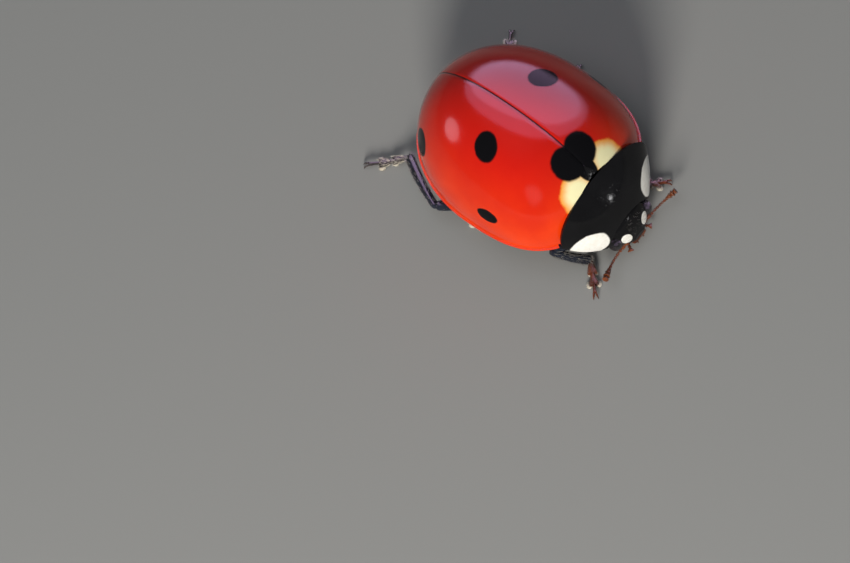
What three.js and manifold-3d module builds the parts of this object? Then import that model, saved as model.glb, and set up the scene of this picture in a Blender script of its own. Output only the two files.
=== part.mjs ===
// A seven-spot ladybird standing on its six feet, as a closed model at life size.
// Millimetres, +Z up. The beetle looks along -Y, so its left side is at +X.
// The origin lies on the floor, under the middle of the body.
import * as THREE from "three";
import { mergeVertices } from "three/addons/utils/BufferGeometryUtils.js";
import Module from "manifold-3d";

const wasm = await Module();
wasm.setup();

// ---- driving dimensions ----------------------------------------------------
// All places below are in the body's frame: z = 0 is the lower rim of the wing cases.
const RIM_HEIGHT = 1.45; // the rim stands this far above the floor
const FORWARD_SHIFT = 0.22; // puts the origin under the middle of the whole outline
const GAP = 0.03; // joints between neighbouring pieces
const FLOOR = -RIM_HEIGHT;

const CASE = {
  halfWidth: 2.775,
  height: 2.92,
  widestY: -0.42,
  highestY: -0.1,
  rearY: 3.01,
  baseY: -3.04, // the pair's base, at the scutellum
  baseBow: 0.12, // how far the base leads forward towards the shoulders
  shoulder: 0.3, // how far the outer front corner is rounded back
  frontPlan: 3.0, // length of the plan's front curve, from the widest place
  frontProfile: 3.42, // length of the side view's front curve, from the highest place
  planPower: { front: 2.7, rear: 2.13 },
  profilePower: { front: 2.11, rear: 2.16 },
  sectionPower: 2.0,
  wall: 0.5,
  frontInset: 0.6, // share of an inset that is taken off the sloping front
};
const SCUTELLUM = { width: 0.4, length: 0.42, wall: 0.28, y: -2.9, proud: 0.02, bow: 0.8 };

// The pronotum arches over the front of the body. Each of its curves is given at its hind and front end.
const PRONOTUM = {
  middle: { hind: [0, -3.08, 1.5], front: [0, -4.1, -0.3] },
  corner: { hind: [1.93, -3.2, 0.26], front: [0.95, -3.88, -0.7] },
  crown: 0.17, // how far it bulges between those ends
  sideCrown: 0.1, // how far its side edges bulge outwards and down
  sectionPower: 2.1,
  wall: 0.24,
};
const STERNUM = { hindY: -3.03, frontY: -3.34, depth: -1.02, share: 0.78, edge: 0.1 };
const HEAD = { centre: [0, -3.72, -0.7], radii: [0.74, 0.5, 0.5] };
const EYE = { centre: [0.68, -3.93, -0.76], radii: [0.22, 0.22, 0.27] };
const LABRUM = { centre: [0, -4.1, -1.04], radii: [0.3, 0.15, 0.13] };
const MANDIBLE = { centre: [0.14, -4.1, -1.16], radii: [0.15, 0.13, 0.1] };
const PALP = {
  root: [0.26, -3.96, -1.1],
  bend: [0.36, -4.16, -1.2],
  tip: [0.5, -4.34, -1.24],
  thick: 0.1,
  tipWidth: 0.15,
};
const BELLY = {
  depth: 0.95,
  deepestY: -1.7,
  frontReach: 3.2,
  rearReach: 4.25,
  profilePower: 2.2,
  sectionPower: 2.6,
  facets: 11, // over the top, and as many again along the belly
};
const THORAX = { frontY: -2.97, rearY: -0.6, steps: 5 };
const ABDOMEN = { frontY: -0.57, rearY: 2.45, ventrites: 6, step: 0.04, spacing: 0.9 };

// Half thicknesses of the limbs.
const COXA = 0.28;
const FEMUR = { root: 0.24, belly: 0.26, knee: 0.24, bellyAt: 0.45, sag: 0.06 };
const TIBIA = { knee: 0.22, foot: 0.24, bow: 0.05 };
const TARSUS = {
  root: 0.18,
  lobe: 0.26,
  lobeAt: 0.58, // share of the foot's length at which its pad is widest
  lobeEnd: 0.66,
  clawJoint: 0.14,
  height: 0.19,
  lift: 0.08, // the middle of the foot above the floor, at the claws
  soleAt: 0.45,
  soleLift: 0.11,
};
const CLAW = { length: 0.26, spread: 0.11, rootSpread: 0.02, rootInside: 0.08, thick: 0.06, arch: 0.13 };
const FEELER = { shaft: 0.23, club: 0.26, clubFrom: 0.57, clubFull: 0.82 };

// The left feeler and the right one, each by its root, bend and tip.
const FEELERS = {
  left: { root: [0.5, -4.0, -0.92], bend: [1.05, -4.08, -0.9], tip: [1.64, -4.3, -0.88] },
  right: { root: [-0.5, -4.0, -0.92], bend: [-1.03, -4.04, -0.9], tip: [-1.69, -4.36, -0.86] },
};
// Each leg by its hip, knee, ankle, and the tip of the foot on the floor.
const LEGS = {
  front_left: {
    hip: [0.55, -3.06, -0.96],
    knee: [1.95, -2.35, -0.47],
    ankle: [1.32, -3.18, -1.2],
    toe: [1.9, -3.86],
  },
  middle_left: {
    hip: [0.85, -2.05, -0.96],
    knee: [2.66, -1.45, -0.44],
    ankle: [2.6, 0.05, -1.2],
    toe: [3.32, 0.66],
  },
  hind_left: {
    hip: [0.95, -0.95, -0.94],
    knee: [2.72, 0.72, -0.48],
    ankle: [2.2, 2.5, -1.2],
    toe: [3.08, 2.98],
  },
  front_right: {
    hip: [-0.55, -3.06, -0.96],
    knee: [-1.97, -2.7, -0.47],
    ankle: [-1.36, -3.49, -1.2],
    toe: [-2.17, -4.3],
  },
  middle_right: {
    hip: [-0.85, -2.05, -0.96],
    knee: [-2.25, -1.75, -0.48],
    ankle: [-2.26, -0.45, -1.2],
    toe: [-2.28, 0.42],
  },
  hind_right: {
    hip: [-0.95, -0.95, -0.94],
    knee: [-2.76, 0.96, -0.5],
    ankle: [-1.76, 2.92, -1.18],
    toe: [-2.64, 3.9],
  },
};

// ---- finishes --------------------------------------------------------------
const finish = (color, roughness) => () =>
  new THREE.MeshStandardMaterial({ color, roughness, metalness: 0 });
const WING_RED = finish(0xc81408, 0.2);
const BLACK = finish(0x0a0a0c, 0.25);
const EYE_BLACK = finish(0x050507, 0.12);
const BROWN = finish(0x7a3216, 0.4);
const LEG_GREY = finish(0x1a1d26, 0.45);

// ---- helpers ---------------------------------------------------------------
const vec = (x, y, z) => new THREE.Vector3(x, y, z);
const at = (xyz) => new THREE.Vector3(...xyz);
const mix = THREE.MathUtils.lerp;
const smooth = THREE.MathUtils.smoothstep;
const blend = (a, b, t) => at(a).lerp(at(b), t);

// A quarter of a superellipse: 1 at t = 0, 0 at t = 1.
const arch = (t, power) => (1 - Math.min(1, Math.abs(t)) ** power) ** (1 / power);
// A smooth bump along 0 to 1 that peaks in the middle.
const hump = (t) => Math.sin(Math.PI * t);

// An indexed geometry, its coincident vertices merged and collapsed triangles dropped.
function closed(positions, triangles) {
  const raw = new THREE.BufferGeometry();
  raw.setAttribute("position", new THREE.Float32BufferAttribute(positions, 3));
  raw.setIndex(triangles);
  const merged = mergeVertices(raw, 1e-3);
  const index = merged.index.array;
  const kept = [];
  for (let i = 0; i < index.length; i += 3) {
    const [a, b, c] = [index[i], index[i + 1], index[i + 2]];
    if (a !== b && b !== c && c !== a) kept.push(a, b, c);
  }
  merged.setIndex(kept);
  return merged;
}

// A closed plate between two surfaces of (u, v), each 0 to 1. "top" has u x v pointing outwards.
function slab(top, bottom, columns, rows) {
  const positions = [];
  const triangles = [];
  for (const surface of [top, bottom]) {
    for (let r = 0; r <= rows; r++) {
      for (let c = 0; c <= columns; c++) positions.push(...surface(c / columns, r / rows).toArray());
    }
  }
  const layer = (columns + 1) * (rows + 1);
  const id = (side, c, r) => side * layer + r * (columns + 1) + c;
  const quad = (a, b, c, d) => triangles.push(a, b, c, a, c, d);
  for (let r = 0; r < rows; r++) {
    for (let c = 0; c < columns; c++) {
      quad(id(0, c, r), id(0, c + 1, r), id(0, c + 1, r + 1), id(0, c, r + 1));
      quad(id(1, c, r), id(1, c, r + 1), id(1, c + 1, r + 1), id(1, c + 1, r));
    }
    quad(id(0, 0, r), id(0, 0, r + 1), id(1, 0, r + 1), id(1, 0, r));
    quad(id(0, columns, r + 1), id(0, columns, r), id(1, columns, r), id(1, columns, r + 1));
  }
  for (let c = 0; c < columns; c++) {
    quad(id(0, c + 1, 0), id(0, c, 0), id(1, c, 0), id(1, c + 1, 0));
    quad(id(0, c, rows), id(0, c + 1, rows), id(1, c + 1, rows), id(1, c, rows));
  }
  return closed(positions, triangles);
}

// A closed body through rings of equal length, each closed by a flat fan at the ends.
// The rings turn anticlockwise, seen from the last one.
function loft(rings) {
  const sides = rings[0].length;
  const centre = (ring) => ring.reduce((sum, p) => sum.add(p), vec(0, 0, 0)).divideScalar(sides);
  const positions = [...rings.flat(), centre(rings[0]), centre(rings.at(-1))].flatMap((p) => p.toArray());
  const [first, last] = [rings.length * sides, rings.length * sides + 1];
  const triangles = [];
  for (let k = 0; k < sides; k++) {
    const next = (k + 1) % sides;
    for (let r = 0; r < rings.length - 1; r++) {
      const [a, b] = [r * sides + k, r * sides + next];
      triangles.push(a, b, b + sides, a, b + sides, a + sides);
    }
    const end = (rings.length - 1) * sides;
    triangles.push(first, next, k, last, end + k, end + next);
  }
  return closed(positions, triangles);
}

// A limb along a smooth path with rounded ends. radius(t) gives its half width and half height
// for t from 0 to 1; the width is kept level, so a flattened foot lies on its broad side.
function limb(points, radius, { steps = 6, sides = 8, grow = 0, round = 0.1 } = {}) {
  const curve = new THREE.CatmullRomCurve3(points.map(at), false, "centripetal");
  const rings = [];
  for (let i = 0; i <= steps; i++) {
    const t = i / steps;
    const along = curve.getTangentAt(t);
    const across = vec(0, 0, 1).cross(along).normalize();
    const thick = along.clone().cross(across);
    const end = arch(0.9 * Math.max(0, 1 - t / round, 1 - (1 - t) / round), 2);
    const [width, height] = radius(t).map((r) => r * end + grow);
    const ring = [];
    for (let k = 0; k < sides; k++) {
      const turn = (2 * Math.PI * (k + 0.5)) / sides;
      const p = curve.getPointAt(t).addScaledVector(across, width * Math.cos(turn));
      ring.push(p.addScaledVector(thick, height * Math.sin(turn)));
    }
    rings.push(ring);
  }
  return loft(rings);
}

// A ball stretched to three radii; side -1 mirrors its place to the right.
function ball({ centre: [x, y, z], radii }, { side = 1, grow = 0, around = 8, down = 6 } = {}) {
  const sphere = new THREE.SphereGeometry(1, around, down);
  sphere.scale(...radii.map((r) => r + grow));
  sphere.translate(side * x, y, z);
  return sphere;
}

// ---- cuts and joins --------------------------------------------------------
function solid(geometry) {
  const { array, count } = geometry.attributes.position;
  const index = geometry.index ? geometry.index.array : Array.from({ length: count }, (_, i) => i);
  const merged = closed(array, Array.from(index));
  return new wasm.Manifold(
    new wasm.Mesh({
      numProp: 3,
      vertProperties: merged.attributes.position.array,
      triVerts: new Uint32Array(merged.index.array),
    }),
  );
}

// Back to a geometry, keeping only the largest piece that the cuts have left.
function geometryOf(body) {
  const [largest] = body.decompose().sort((a, b) => b.volume() - a.volume());
  const { vertProperties, triVerts } = largest.getMesh();
  const made = new THREE.BufferGeometry();
  made.setAttribute("position", new THREE.BufferAttribute(vertProperties, 3));
  made.setIndex(new THREE.BufferAttribute(triVerts, 1));
  return made;
}

function minus(body, ...cutters) {
  return geometryOf(cutters.reduce((left, cutter) => left.subtract(solid(cutter)), solid(body)));
}

function plus(...bodies) {
  return geometryOf(bodies.map(solid).reduce((sum, body) => sum.add(body)));
}

// ---- the dome of the wing cases --------------------------------------------
// Half width and height of the dome at y; "inset" gives the like dome that far inside.
function domeSize(y, inset = 0) {
  const rear = CASE.rearY - inset;
  const front = CASE.frontInset * inset;
  const plan =
    y < CASE.widestY
      ? arch((CASE.widestY - y) / (CASE.frontPlan - front), CASE.planPower.front)
      : arch((y - CASE.widestY) / (rear - CASE.widestY), CASE.planPower.rear);
  const profile =
    y < CASE.highestY
      ? arch((CASE.highestY - y) / (CASE.frontProfile - front), CASE.profilePower.front)
      : arch((y - CASE.highestY) / (rear - CASE.highestY), CASE.profilePower.rear);
  return [(CASE.halfWidth - inset) * plan, (CASE.height - inset) * profile];
}

// A point of the dome: share runs from -1 at the right rim over the top to 1 at the left rim.
function domePoint(y, share, inset = 0) {
  const [halfWidth, height] = domeSize(y, inset);
  return vec(halfWidth * share, y, height * arch(share, CASE.sectionPower));
}

// The base edge leads forward to each side, and is rounded back at the shoulder.
const baseLine = (share) => CASE.baseY - CASE.baseBow * share ** 2 + CASE.shoulder * share ** 14;

function scutellum(grow = 0) {
  const { length, wall, y, proud, bow } = SCUTELLUM;
  const half = SCUTELLUM.width / 2 + grow;
  const [ahead, behind] = [-length / 2 - grow, length / 2 + 2 * grow];
  const outline = new THREE.Shape();
  outline.moveTo(-half, ahead);
  outline.lineTo(half, ahead);
  outline.quadraticCurveTo(bow * half, 0, 0, behind);
  outline.quadraticCurveTo(-bow * half, 0, -half, ahead);
  const plate = new THREE.ExtrudeGeometry(outline, {
    depth: wall + 2 * grow,
    bevelEnabled: false,
    curveSegments: 4,
  });
  const reach = 0.05;
  const [lower, upper] = [domeSize(y - reach)[1], domeSize(y + reach)[1]];
  plate.translate(0, 0, proud - wall - grow);
  plate.rotateX(Math.atan2(upper - lower, 2 * reach));
  plate.translate(0, y, (lower + upper) / 2);
  return plate;
}

function elytron(side) {
  const surface = (inset) => (u, v) => {
    const share = Math.sin((Math.PI / 2) * (side > 0 ? u : 1 - u));
    const y = mix(baseLine(share), CASE.rearY - inset, Math.sin((Math.PI / 2) * v));
    const p = domePoint(y, share, inset);
    p.x = side * (GAP / 2 + p.x * (1 - GAP / 2 / CASE.halfWidth));
    return p;
  };
  return minus(slab(surface(0), surface(CASE.wall), 10, 15), scutellum(GAP));
}

// ---- the pronotum and what it covers ---------------------------------------
// Its upper surface: u runs from its left side to its right, v from its hind to its front margin.
function pronotumPoint(u, v, inset = 0) {
  const { middle, corner, crown, sideCrown, sectionPower } = PRONOTUM;
  const across = Math.cos(Math.PI * u);
  const ridge = blend(middle.hind, middle.front, v);
  const slope = Math.atan2(middle.hind[2] - middle.front[2], middle.hind[1] - middle.front[1]);
  const outwards = crown * hump(v) - inset;
  const forward = Math.min(1, 2 * v); // the hind half turns from bulging up to bulging forward
  ridge.y -= outwards * Math.sin(slope) * forward;
  ridge.z += outwards * (Math.cos(slope) + Math.sin(slope) * (1 - forward));
  const side = blend(corner.hind, corner.front, v);
  side.x += sideCrown * hump(v) - inset;
  side.z -= sideCrown * hump(v);
  const rise = arch(across, sectionPower);
  return vec(side.x * across, mix(side.y, ridge.y, rise), mix(side.z, ridge.z, rise));
}
const headBall = (grow = 0) => ball(HEAD, { grow, around: 16, down: 10 });
const eyeBall = (side, grow = 0) => ball(EYE, { side, grow, around: 10, down: 7 });

const pronotum = () =>
  minus(
    slab((u, v) => pronotumPoint(u, v), (u, v) => pronotumPoint(u, v, PRONOTUM.wall), 14, 7),
    headBall(GAP),
    eyeBall(1, GAP),
    eyeBall(-1, GAP),
  );

function prothorax(cutters) {
  const inside = PRONOTUM.wall + GAP;
  const under = (u, v) => pronotumPoint(u, v, inside);
  const breast = (u, v) => {
    const edge = under(u, v);
    const rise = arch(Math.cos(Math.PI * u), PRONOTUM.sectionPower);
    const x = edge.x * mix(1, STERNUM.share, rise);
    const y = mix(edge.y, mix(STERNUM.hindY, STERNUM.frontY, v), Math.sqrt(rise));
    return vec(x, y, mix(edge.z - STERNUM.edge, STERNUM.depth, rise));
  };
  return minus(slab(under, breast, 12, 5), headBall(GAP), ...cutters);
}

// ---- the trunk under the wing cases ----------------------------------------
// A ring of the trunk at y: over the top just inside the wing cases, and back along the belly.
function trunkRing(y, step = 0) {
  const inset = CASE.wall + 2 * GAP;
  const count = BELLY.facets;
  const reach = y < BELLY.deepestY ? BELLY.frontReach : BELLY.rearReach;
  const depth = BELLY.depth * arch((y - BELLY.deepestY) / reach, BELLY.profilePower) + step;
  const [halfWidth] = domeSize(y, inset);
  const ring = [];
  for (let k = 0; k < count; k++) ring.push(domePoint(y, -Math.cos((Math.PI * k) / count), inset));
  for (let k = 0; k < count; k++) {
    const share = Math.cos((Math.PI * k) / count);
    ring.push(vec(halfWidth * share, y, -depth * arch(share, BELLY.sectionPower)));
  }
  return ring;
}

function thorax(cutters) {
  const { frontY, rearY, steps } = THORAX;
  const rings = [];
  for (let i = 0; i <= steps; i++) rings.push(trunkRing(mix(frontY, rearY, i / steps)));
  return minus(loft(rings), ...cutters);
}

// Each belly plate deepens towards its hind edge, where it laps over the next.
function abdomen(cutters) {
  const { frontY, rearY, ventrites, step, spacing } = ABDOMEN;
  const rings = [];
  for (let i = 0; i < ventrites; i++) {
    const [start, end] = [i, i + 1].map((n) => mix(frontY, rearY, (n / ventrites) ** spacing));
    rings.push(trunkRing(start + (i ? step / 2 : 0)), trunkRing(end, step));
  }
  return minus(loft(rings), ...cutters);
}

// ---- head pieces -----------------------------------------------------------
const head = () => minus(headBall(), eyeBall(1, GAP), eyeBall(-1, GAP));

const mouthBalls = (grow = 0) => [
  ball(LABRUM, { grow }),
  ball(MANDIBLE, { grow }),
  ball(MANDIBLE, { grow, side: -1 }),
];

function mouth() {
  return minus(plus(...mouthBalls()), headBall(GAP));
}

function palp(side) {
  const path = [PALP.root, PALP.bend, PALP.tip].map(([x, y, z]) => [side * x, y, z]);
  const thickness = (t) => [mix(PALP.thick, PALP.tipWidth, t * t), PALP.thick];
  const shape = limb(path, thickness, { steps: 4, sides: 6 });
  return minus(shape, headBall(GAP), ...mouthBalls(GAP));
}

function feeler({ root, bend, tip }) {
  const thickness = (t) => {
    const r = mix(FEELER.shaft, FEELER.club, smooth(t, FEELER.clubFrom, FEELER.clubFull));
    return [r, r];
  };
  const shape = limb([root, bend, tip], thickness, { steps: 7, round: 0.16 });
  return minus(shape, headBall(GAP), eyeBall(Math.sign(tip[0]), GAP));
}

// ---- legs ------------------------------------------------------------------
function femur({ hip, knee }, { grow = 0, steps = 5, sides = 8 } = {}) {
  const { bellyAt, sag } = FEMUR;
  const middle = blend(hip, knee, bellyAt).add(vec(0, 0, -sag)).toArray();
  const thickness = (t) => {
    const r =
      t < bellyAt
        ? mix(FEMUR.root, FEMUR.belly, t / bellyAt)
        : mix(FEMUR.belly, FEMUR.knee, (t - bellyAt) / (1 - bellyAt));
    return [r, r];
  };
  const coxa = ball({ centre: hip, radii: [COXA, COXA, COXA] }, { grow, around: sides });
  return plus(coxa, limb([hip, middle, knee], thickness, { steps, sides, grow }));
}

function tibia({ knee, ankle }, grow = 0) {
  const thickness = (t) => {
    const r = mix(TIBIA.knee, TIBIA.foot, t);
    return [r, r];
  };
  const outwards = Math.sign(knee[0]) * TIBIA.bow;
  const bow = blend(knee, ankle, 0.5).add(vec(outwards, 0, TIBIA.bow)).toArray();
  return limb([knee, bow, ankle], thickness, { steps: 4, grow });
}

// The foot: a slender root, a broad two-lobed pad and the claws, all flat where they meet the floor.
function tarsus({ ankle, toe: [x, y] }) {
  const { root, lobe, lobeAt, lobeEnd, clawJoint, height, lift, soleAt, soleLift } = TARSUS;
  const start = at(ankle);
  const tip = vec(x, y, FLOOR + lift);
  const forward = vec(tip.x - start.x, tip.y - start.y, 0).normalize();
  const sideways = vec(0, 0, 1).cross(forward);
  const ahead = (point, along, across) =>
    point.clone().addScaledVector(forward, along).addScaledVector(sideways, across);
  const joint = ahead(tip, -0.75 * CLAW.length, 0);
  const sole = blend(ankle, joint.toArray(), soleAt).setZ(FLOOR + soleLift);
  const width = (t) =>
    t < lobeAt ? mix(root, lobe, smooth(t, 0, lobeAt)) : mix(lobe, clawJoint, smooth(t, lobeEnd, 1));
  const thickness = (t) => [width(t), mix(height, clawJoint, t)];
  const pad = limb([ankle, sole.toArray(), joint.toArray()], thickness, { steps: 6 });
  const claws = [1, -1].map((side) => {
    const inner = ahead(joint, -CLAW.rootInside, side * CLAW.rootSpread);
    const bend = ahead(joint, CLAW.length / 2, side * CLAW.spread).setZ(FLOOR + CLAW.arch);
    const point = ahead(tip, 0, side * CLAW.spread).setZ(FLOOR + CLAW.thick);
    const path = [inner, bend, point].map((p) => p.toArray());
    return limb(path, () => [CLAW.thick, CLAW.thick], { steps: 3, sides: 4, round: 0.3 });
  });
  return plus(pad, ...claws);
}

// Flattens what would reach below the floor into level soles.
function grounded(geometry) {
  const position = geometry.getAttribute("position");
  for (let i = 0; i < position.count; i++) position.setZ(i, Math.max(position.getZ(i), FLOOR));
  return geometry;
}

// ---- the beetle ------------------------------------------------------------
const body = new THREE.Group();
body.position.set(0, FORWARD_SHIFT, RIM_HEIGHT);

function add(name, geometry, material, group = body) {
  geometry.computeVertexNormals();
  const mesh = new THREE.Mesh(geometry, material());
  mesh.name = name;
  group.add(mesh);
}

const legs = Object.entries(LEGS);
// The hips sit in sockets of the trunk, cut with a plainer and slightly larger thigh.
const sockets = legs.map(([, joints]) => femur(joints, { grow: 2 * GAP, steps: 3, sides: 6 }));
const frontSockets = legs.flatMap(([name], i) => (name.startsWith("front") ? [sockets[i]] : []));

add("abdomen", abdomen(sockets), BLACK);
add("thorax", thorax(sockets), BLACK);
add("prothorax", prothorax(frontSockets), BLACK);
add("pronotum", pronotum(), BLACK);
add("scutellum", scutellum(), BLACK);
add("head", head(), BLACK);
add("mouth", mouth(), BROWN);
for (const [name, side] of [["left", 1], ["right", -1]]) {
  add("elytron_" + name, elytron(side), WING_RED);
  add("eye_" + name, eyeBall(side), EYE_BLACK);
  add("palp_" + name, palp(side), BROWN);
  add("antenna_" + name, feeler(FEELERS[name]), BROWN);
}
for (const [name, joints] of legs) {
  const leg = new THREE.Group();
  add("femur_" + name, femur(joints), LEG_GREY, leg);
  add("tibia_" + name, minus(tibia(joints), femur(joints, { grow: GAP })), LEG_GREY, leg);
  add("tarsus_" + name, grounded(minus(tarsus(joints), tibia(joints, GAP))), BROWN, leg);
  body.add(leg);
}

const ladybird = new THREE.Group();
ladybird.add(body);

export default ladybird;
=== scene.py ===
# %% [markdown]
# # A seven-spot ladybird at life size
# The beetle is about 7.4 mm long. Its solids are made already, and this lesson dresses them: every part
# gets its fine shape and its finish here. Blender works in metres, which are huge beside a beetle, so
# each piece is modelled in millimetres around the beetle's own origin, and settled into the frame at
# the end. That origin lies in the middle plane, at the height of the lower rim of the wing cases.

# %% The frame
import math
import random

import bmesh
import bpy
from mathutils import Matrix, Vector


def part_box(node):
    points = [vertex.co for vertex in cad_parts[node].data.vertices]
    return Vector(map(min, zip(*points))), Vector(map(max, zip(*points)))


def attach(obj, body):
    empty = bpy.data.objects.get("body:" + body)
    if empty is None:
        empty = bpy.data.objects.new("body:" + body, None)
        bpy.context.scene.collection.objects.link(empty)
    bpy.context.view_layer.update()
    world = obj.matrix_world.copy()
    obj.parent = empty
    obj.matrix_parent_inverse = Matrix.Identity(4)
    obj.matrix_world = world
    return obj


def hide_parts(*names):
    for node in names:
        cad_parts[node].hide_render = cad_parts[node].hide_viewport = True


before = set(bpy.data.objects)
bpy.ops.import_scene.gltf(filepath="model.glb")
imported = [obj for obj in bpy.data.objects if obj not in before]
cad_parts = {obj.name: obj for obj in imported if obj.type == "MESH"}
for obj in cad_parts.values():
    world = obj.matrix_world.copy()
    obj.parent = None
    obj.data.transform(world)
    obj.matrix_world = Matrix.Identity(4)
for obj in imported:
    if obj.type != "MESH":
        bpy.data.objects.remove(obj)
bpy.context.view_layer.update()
MM = 0.001

left_low, left_high = (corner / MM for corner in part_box("elytron_left"))
REAR = 3.01  # tips of the wing cases, behind the origin
ORIGIN = Vector((0, left_high.y - REAR, left_low.z))
CASE_HALF = left_high.x
CASE_HEIGHT = left_high.z - left_low.z
FLOOR_Z = -ORIGIN.z  # the floor's height, as seen from the beetle's origin
print("origin", [round(v, 3) for v in ORIGIN])
print("wing cases: half width", round(CASE_HALF, 3), "height", round(CASE_HEIGHT, 3))

# %% [markdown]
# ## Small tools
# `settle` is the last step of each piece: it scales it to metres, moves it to its place in the frame, and
# applies both, so that its object sits at the origin and its place is in its mesh.

# %% Helpers for objects
def deselect():
    bpy.ops.object.select_all(action="DESELECT")


def choose(piece):
    deselect()
    piece.select_set(True)
    bpy.context.view_layer.objects.active = piece


def apply_all(piece):
    choose(piece)
    bpy.ops.object.transform_apply(location=True, rotation=True, scale=True)


def settle(piece, slot, material, *nodes):
    piece.location = ORIGIN * MM
    piece.scale = (MM, MM, MM)
    apply_all(piece)
    piece.data.materials.clear()
    piece.data.materials.append(material)
    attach(piece, "root")
    if nodes:
        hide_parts(*nodes)
    print(piece.name, len(piece.data.polygons), "faces")
    return piece


# %% Helpers for edit mode
def edit(piece):
    choose(piece)
    bpy.ops.object.mode_set(mode="EDIT")
    bpy.context.tool_settings.mesh_select_mode = (True, False, False)
    bpy.ops.mesh.select_all(action="DESELECT")


def done():
    bpy.ops.object.mode_set(mode="OBJECT")


def pick(piece, test):
    """Selects the vertices whose place passes the test, and what lies wholly between them."""
    shape = bmesh.from_edit_mesh(piece.data)
    for vertex in shape.verts:
        vertex.select_set(False)
    for vertex in shape.verts:
        if test(vertex.co):
            vertex.select_set(True)
    shape.select_flush_mode()
    bmesh.update_edit_mesh(piece.data)


def pick_rim(piece, test):
    """Selects only open edges whose two ends pass the test."""
    shape = bmesh.from_edit_mesh(piece.data)
    for vertex in shape.verts:
        vertex.select_set(False)
    for edge in shape.edges:
        if edge.is_boundary and all(test(v.co) for v in edge.verts):
            for vertex in edge.verts:
                vertex.select_set(True)
            edge.select_set(True)
    bmesh.update_edit_mesh(piece.data)


def modify(piece, kind, **settings):
    choose(piece)
    modifier = piece.modifiers.new(kind.title(), kind)
    for key, value in settings.items():
        setattr(modifier, key, value)
    bpy.ops.object.modifier_apply(modifier=modifier.name)


def smooth(piece, angle):
    choose(piece)
    bpy.ops.object.shade_smooth_by_angle(angle=math.radians(angle))


UPRIGHT = math.pi / 2  # the tilt of a ring that stands across the beetle


def loft(name, rings, sides, caps=True):
    """A body through ellipses: each is (centre, half width, half depth, tilt about X)."""
    deselect()
    piece = None
    for centre, across, depth, tilt in rings:
        turn = (tilt, 0, 0)
        bpy.ops.mesh.primitive_circle_add(vertices=sides, radius=depth, location=centre, rotation=turn)
        if piece is None:
            piece = bpy.context.object
            piece.name = name
            apply_all(piece)
            bpy.ops.object.mode_set(mode="EDIT")
            bpy.ops.mesh.select_all(action="SELECT")
        bpy.ops.transform.resize(value=(across / depth, 1, 1), center_override=centre)
        bpy.ops.mesh.select_all(action="DESELECT")
    bpy.ops.mesh.select_all(action="SELECT")
    bpy.ops.mesh.bridge_edge_loops()
    bpy.ops.mesh.select_all(action="SELECT")
    if caps:
        bpy.ops.mesh.fill_holes(sides=0)
        bpy.ops.mesh.select_all(action="SELECT")
    bpy.ops.mesh.normals_make_consistent(inside=False)
    done()
    return piece


# %% [markdown]
# ## Camera, light and floor
# The camera looks down on the beetle's right shoulder with a long lens, so there is hardly any
# perspective. It is set by the angle that it looks from, the scale of the picture, and the pixel that the
# beetle's origin falls on. So the angle is chosen first, and the crop after it.

# %% Camera
IMAGE = (850, 563)  # pixels
AZIMUTH, ELEVATION, ROLL = (math.radians(a) for a in (-29.683, 64.262, -23.44))
DISTANCE = 188.0  # from the beetle to the lens, in mm
PIXELS_PER_MM = 35.2
ORIGIN_PIXEL = (518.3, 142.95)
SENSOR = 36.0  # width of the film, in mm
NEAREST = 0.001  # nothing nearer to the lens than this is seen, in metres

back = Vector((
    math.sin(AZIMUTH) * math.cos(ELEVATION),
    -math.cos(AZIMUTH) * math.cos(ELEVATION),
    math.sin(ELEVATION),
))
level = (-back).cross(Vector((0, 0, 1))).normalized()
upright = level.cross(-back)
right = level * math.cos(ROLL) + upright * math.sin(ROLL)
up = upright * math.cos(ROLL) - level * math.sin(ROLL)
aside = (ORIGIN_PIXEL[0] - IMAGE[0] / 2) / PIXELS_PER_MM
above = (IMAGE[1] / 2 - ORIGIN_PIXEL[1]) / PIXELS_PER_MM

lens = bpy.data.cameras.new("camera")
lens.sensor_width = SENSOR
lens.lens = SENSOR * PIXELS_PER_MM * DISTANCE / IMAGE[0]
lens.clip_start = NEAREST
camera = bpy.data.objects.new("camera", lens)
bpy.context.scene.collection.objects.link(camera)
camera_place = (ORIGIN + back * DISTANCE - right * aside - up * above) * MM
camera.matrix_world = (
    Matrix.Translation(camera_place) @ Matrix((right, up, back)).transposed().to_4x4())
bpy.context.scene.camera = camera
print("lens", round(lens.lens, 1), "mm")

# %% [markdown]
# The light is a plain soft studio. On a glossy shell what it mirrors counts as much as what lights it, so
# two panels only light the beetle, and four are only there to be mirrored. A warm key low on the right
# brings out the right flank, and a weak one overhead fills the rest. Two large lilac panels, one
# inside the other, stand on the left and lean over the beetle: they lie as a soft-edged sheen over its left
# side. A pink one low behind it gives the flank a soft glow, and a small white one in front gives the head
# its glints. All are round, as a round light looks natural in a shell. The colours are shown as they are,
# without a film curve that would wash out so deep a red.

# %% Lights
def panel(name, direction, distance, size, brightness, tint, lights=True, mirrored=True):
    """An oval light that faces the beetle from a direction. Lengths are in mm, and its brightness is that
    of its face, so a larger one isn't dimmer."""
    light = bpy.data.lights.new(name, "AREA")
    light.shape = "ELLIPSE"
    light.size, light.size_y = size[0] * MM, size[1] * MM
    face_area = math.pi / 4 * light.size * light.size_y
    light.energy = brightness * math.pi * face_area
    light.color = tint
    lamp = bpy.data.objects.new(name, light)
    bpy.context.scene.collection.objects.link(lamp)
    towards = Vector(direction).normalized()
    lamp.location = (ORIGIN + towards * distance) * MM
    lamp.rotation_euler = towards.to_track_quat("Z", "Y").to_euler()
    lamp.visible_diffuse = lights
    lamp.visible_glossy = mirrored
    print(name, "gives", round(light.energy, 3), "W")


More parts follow.
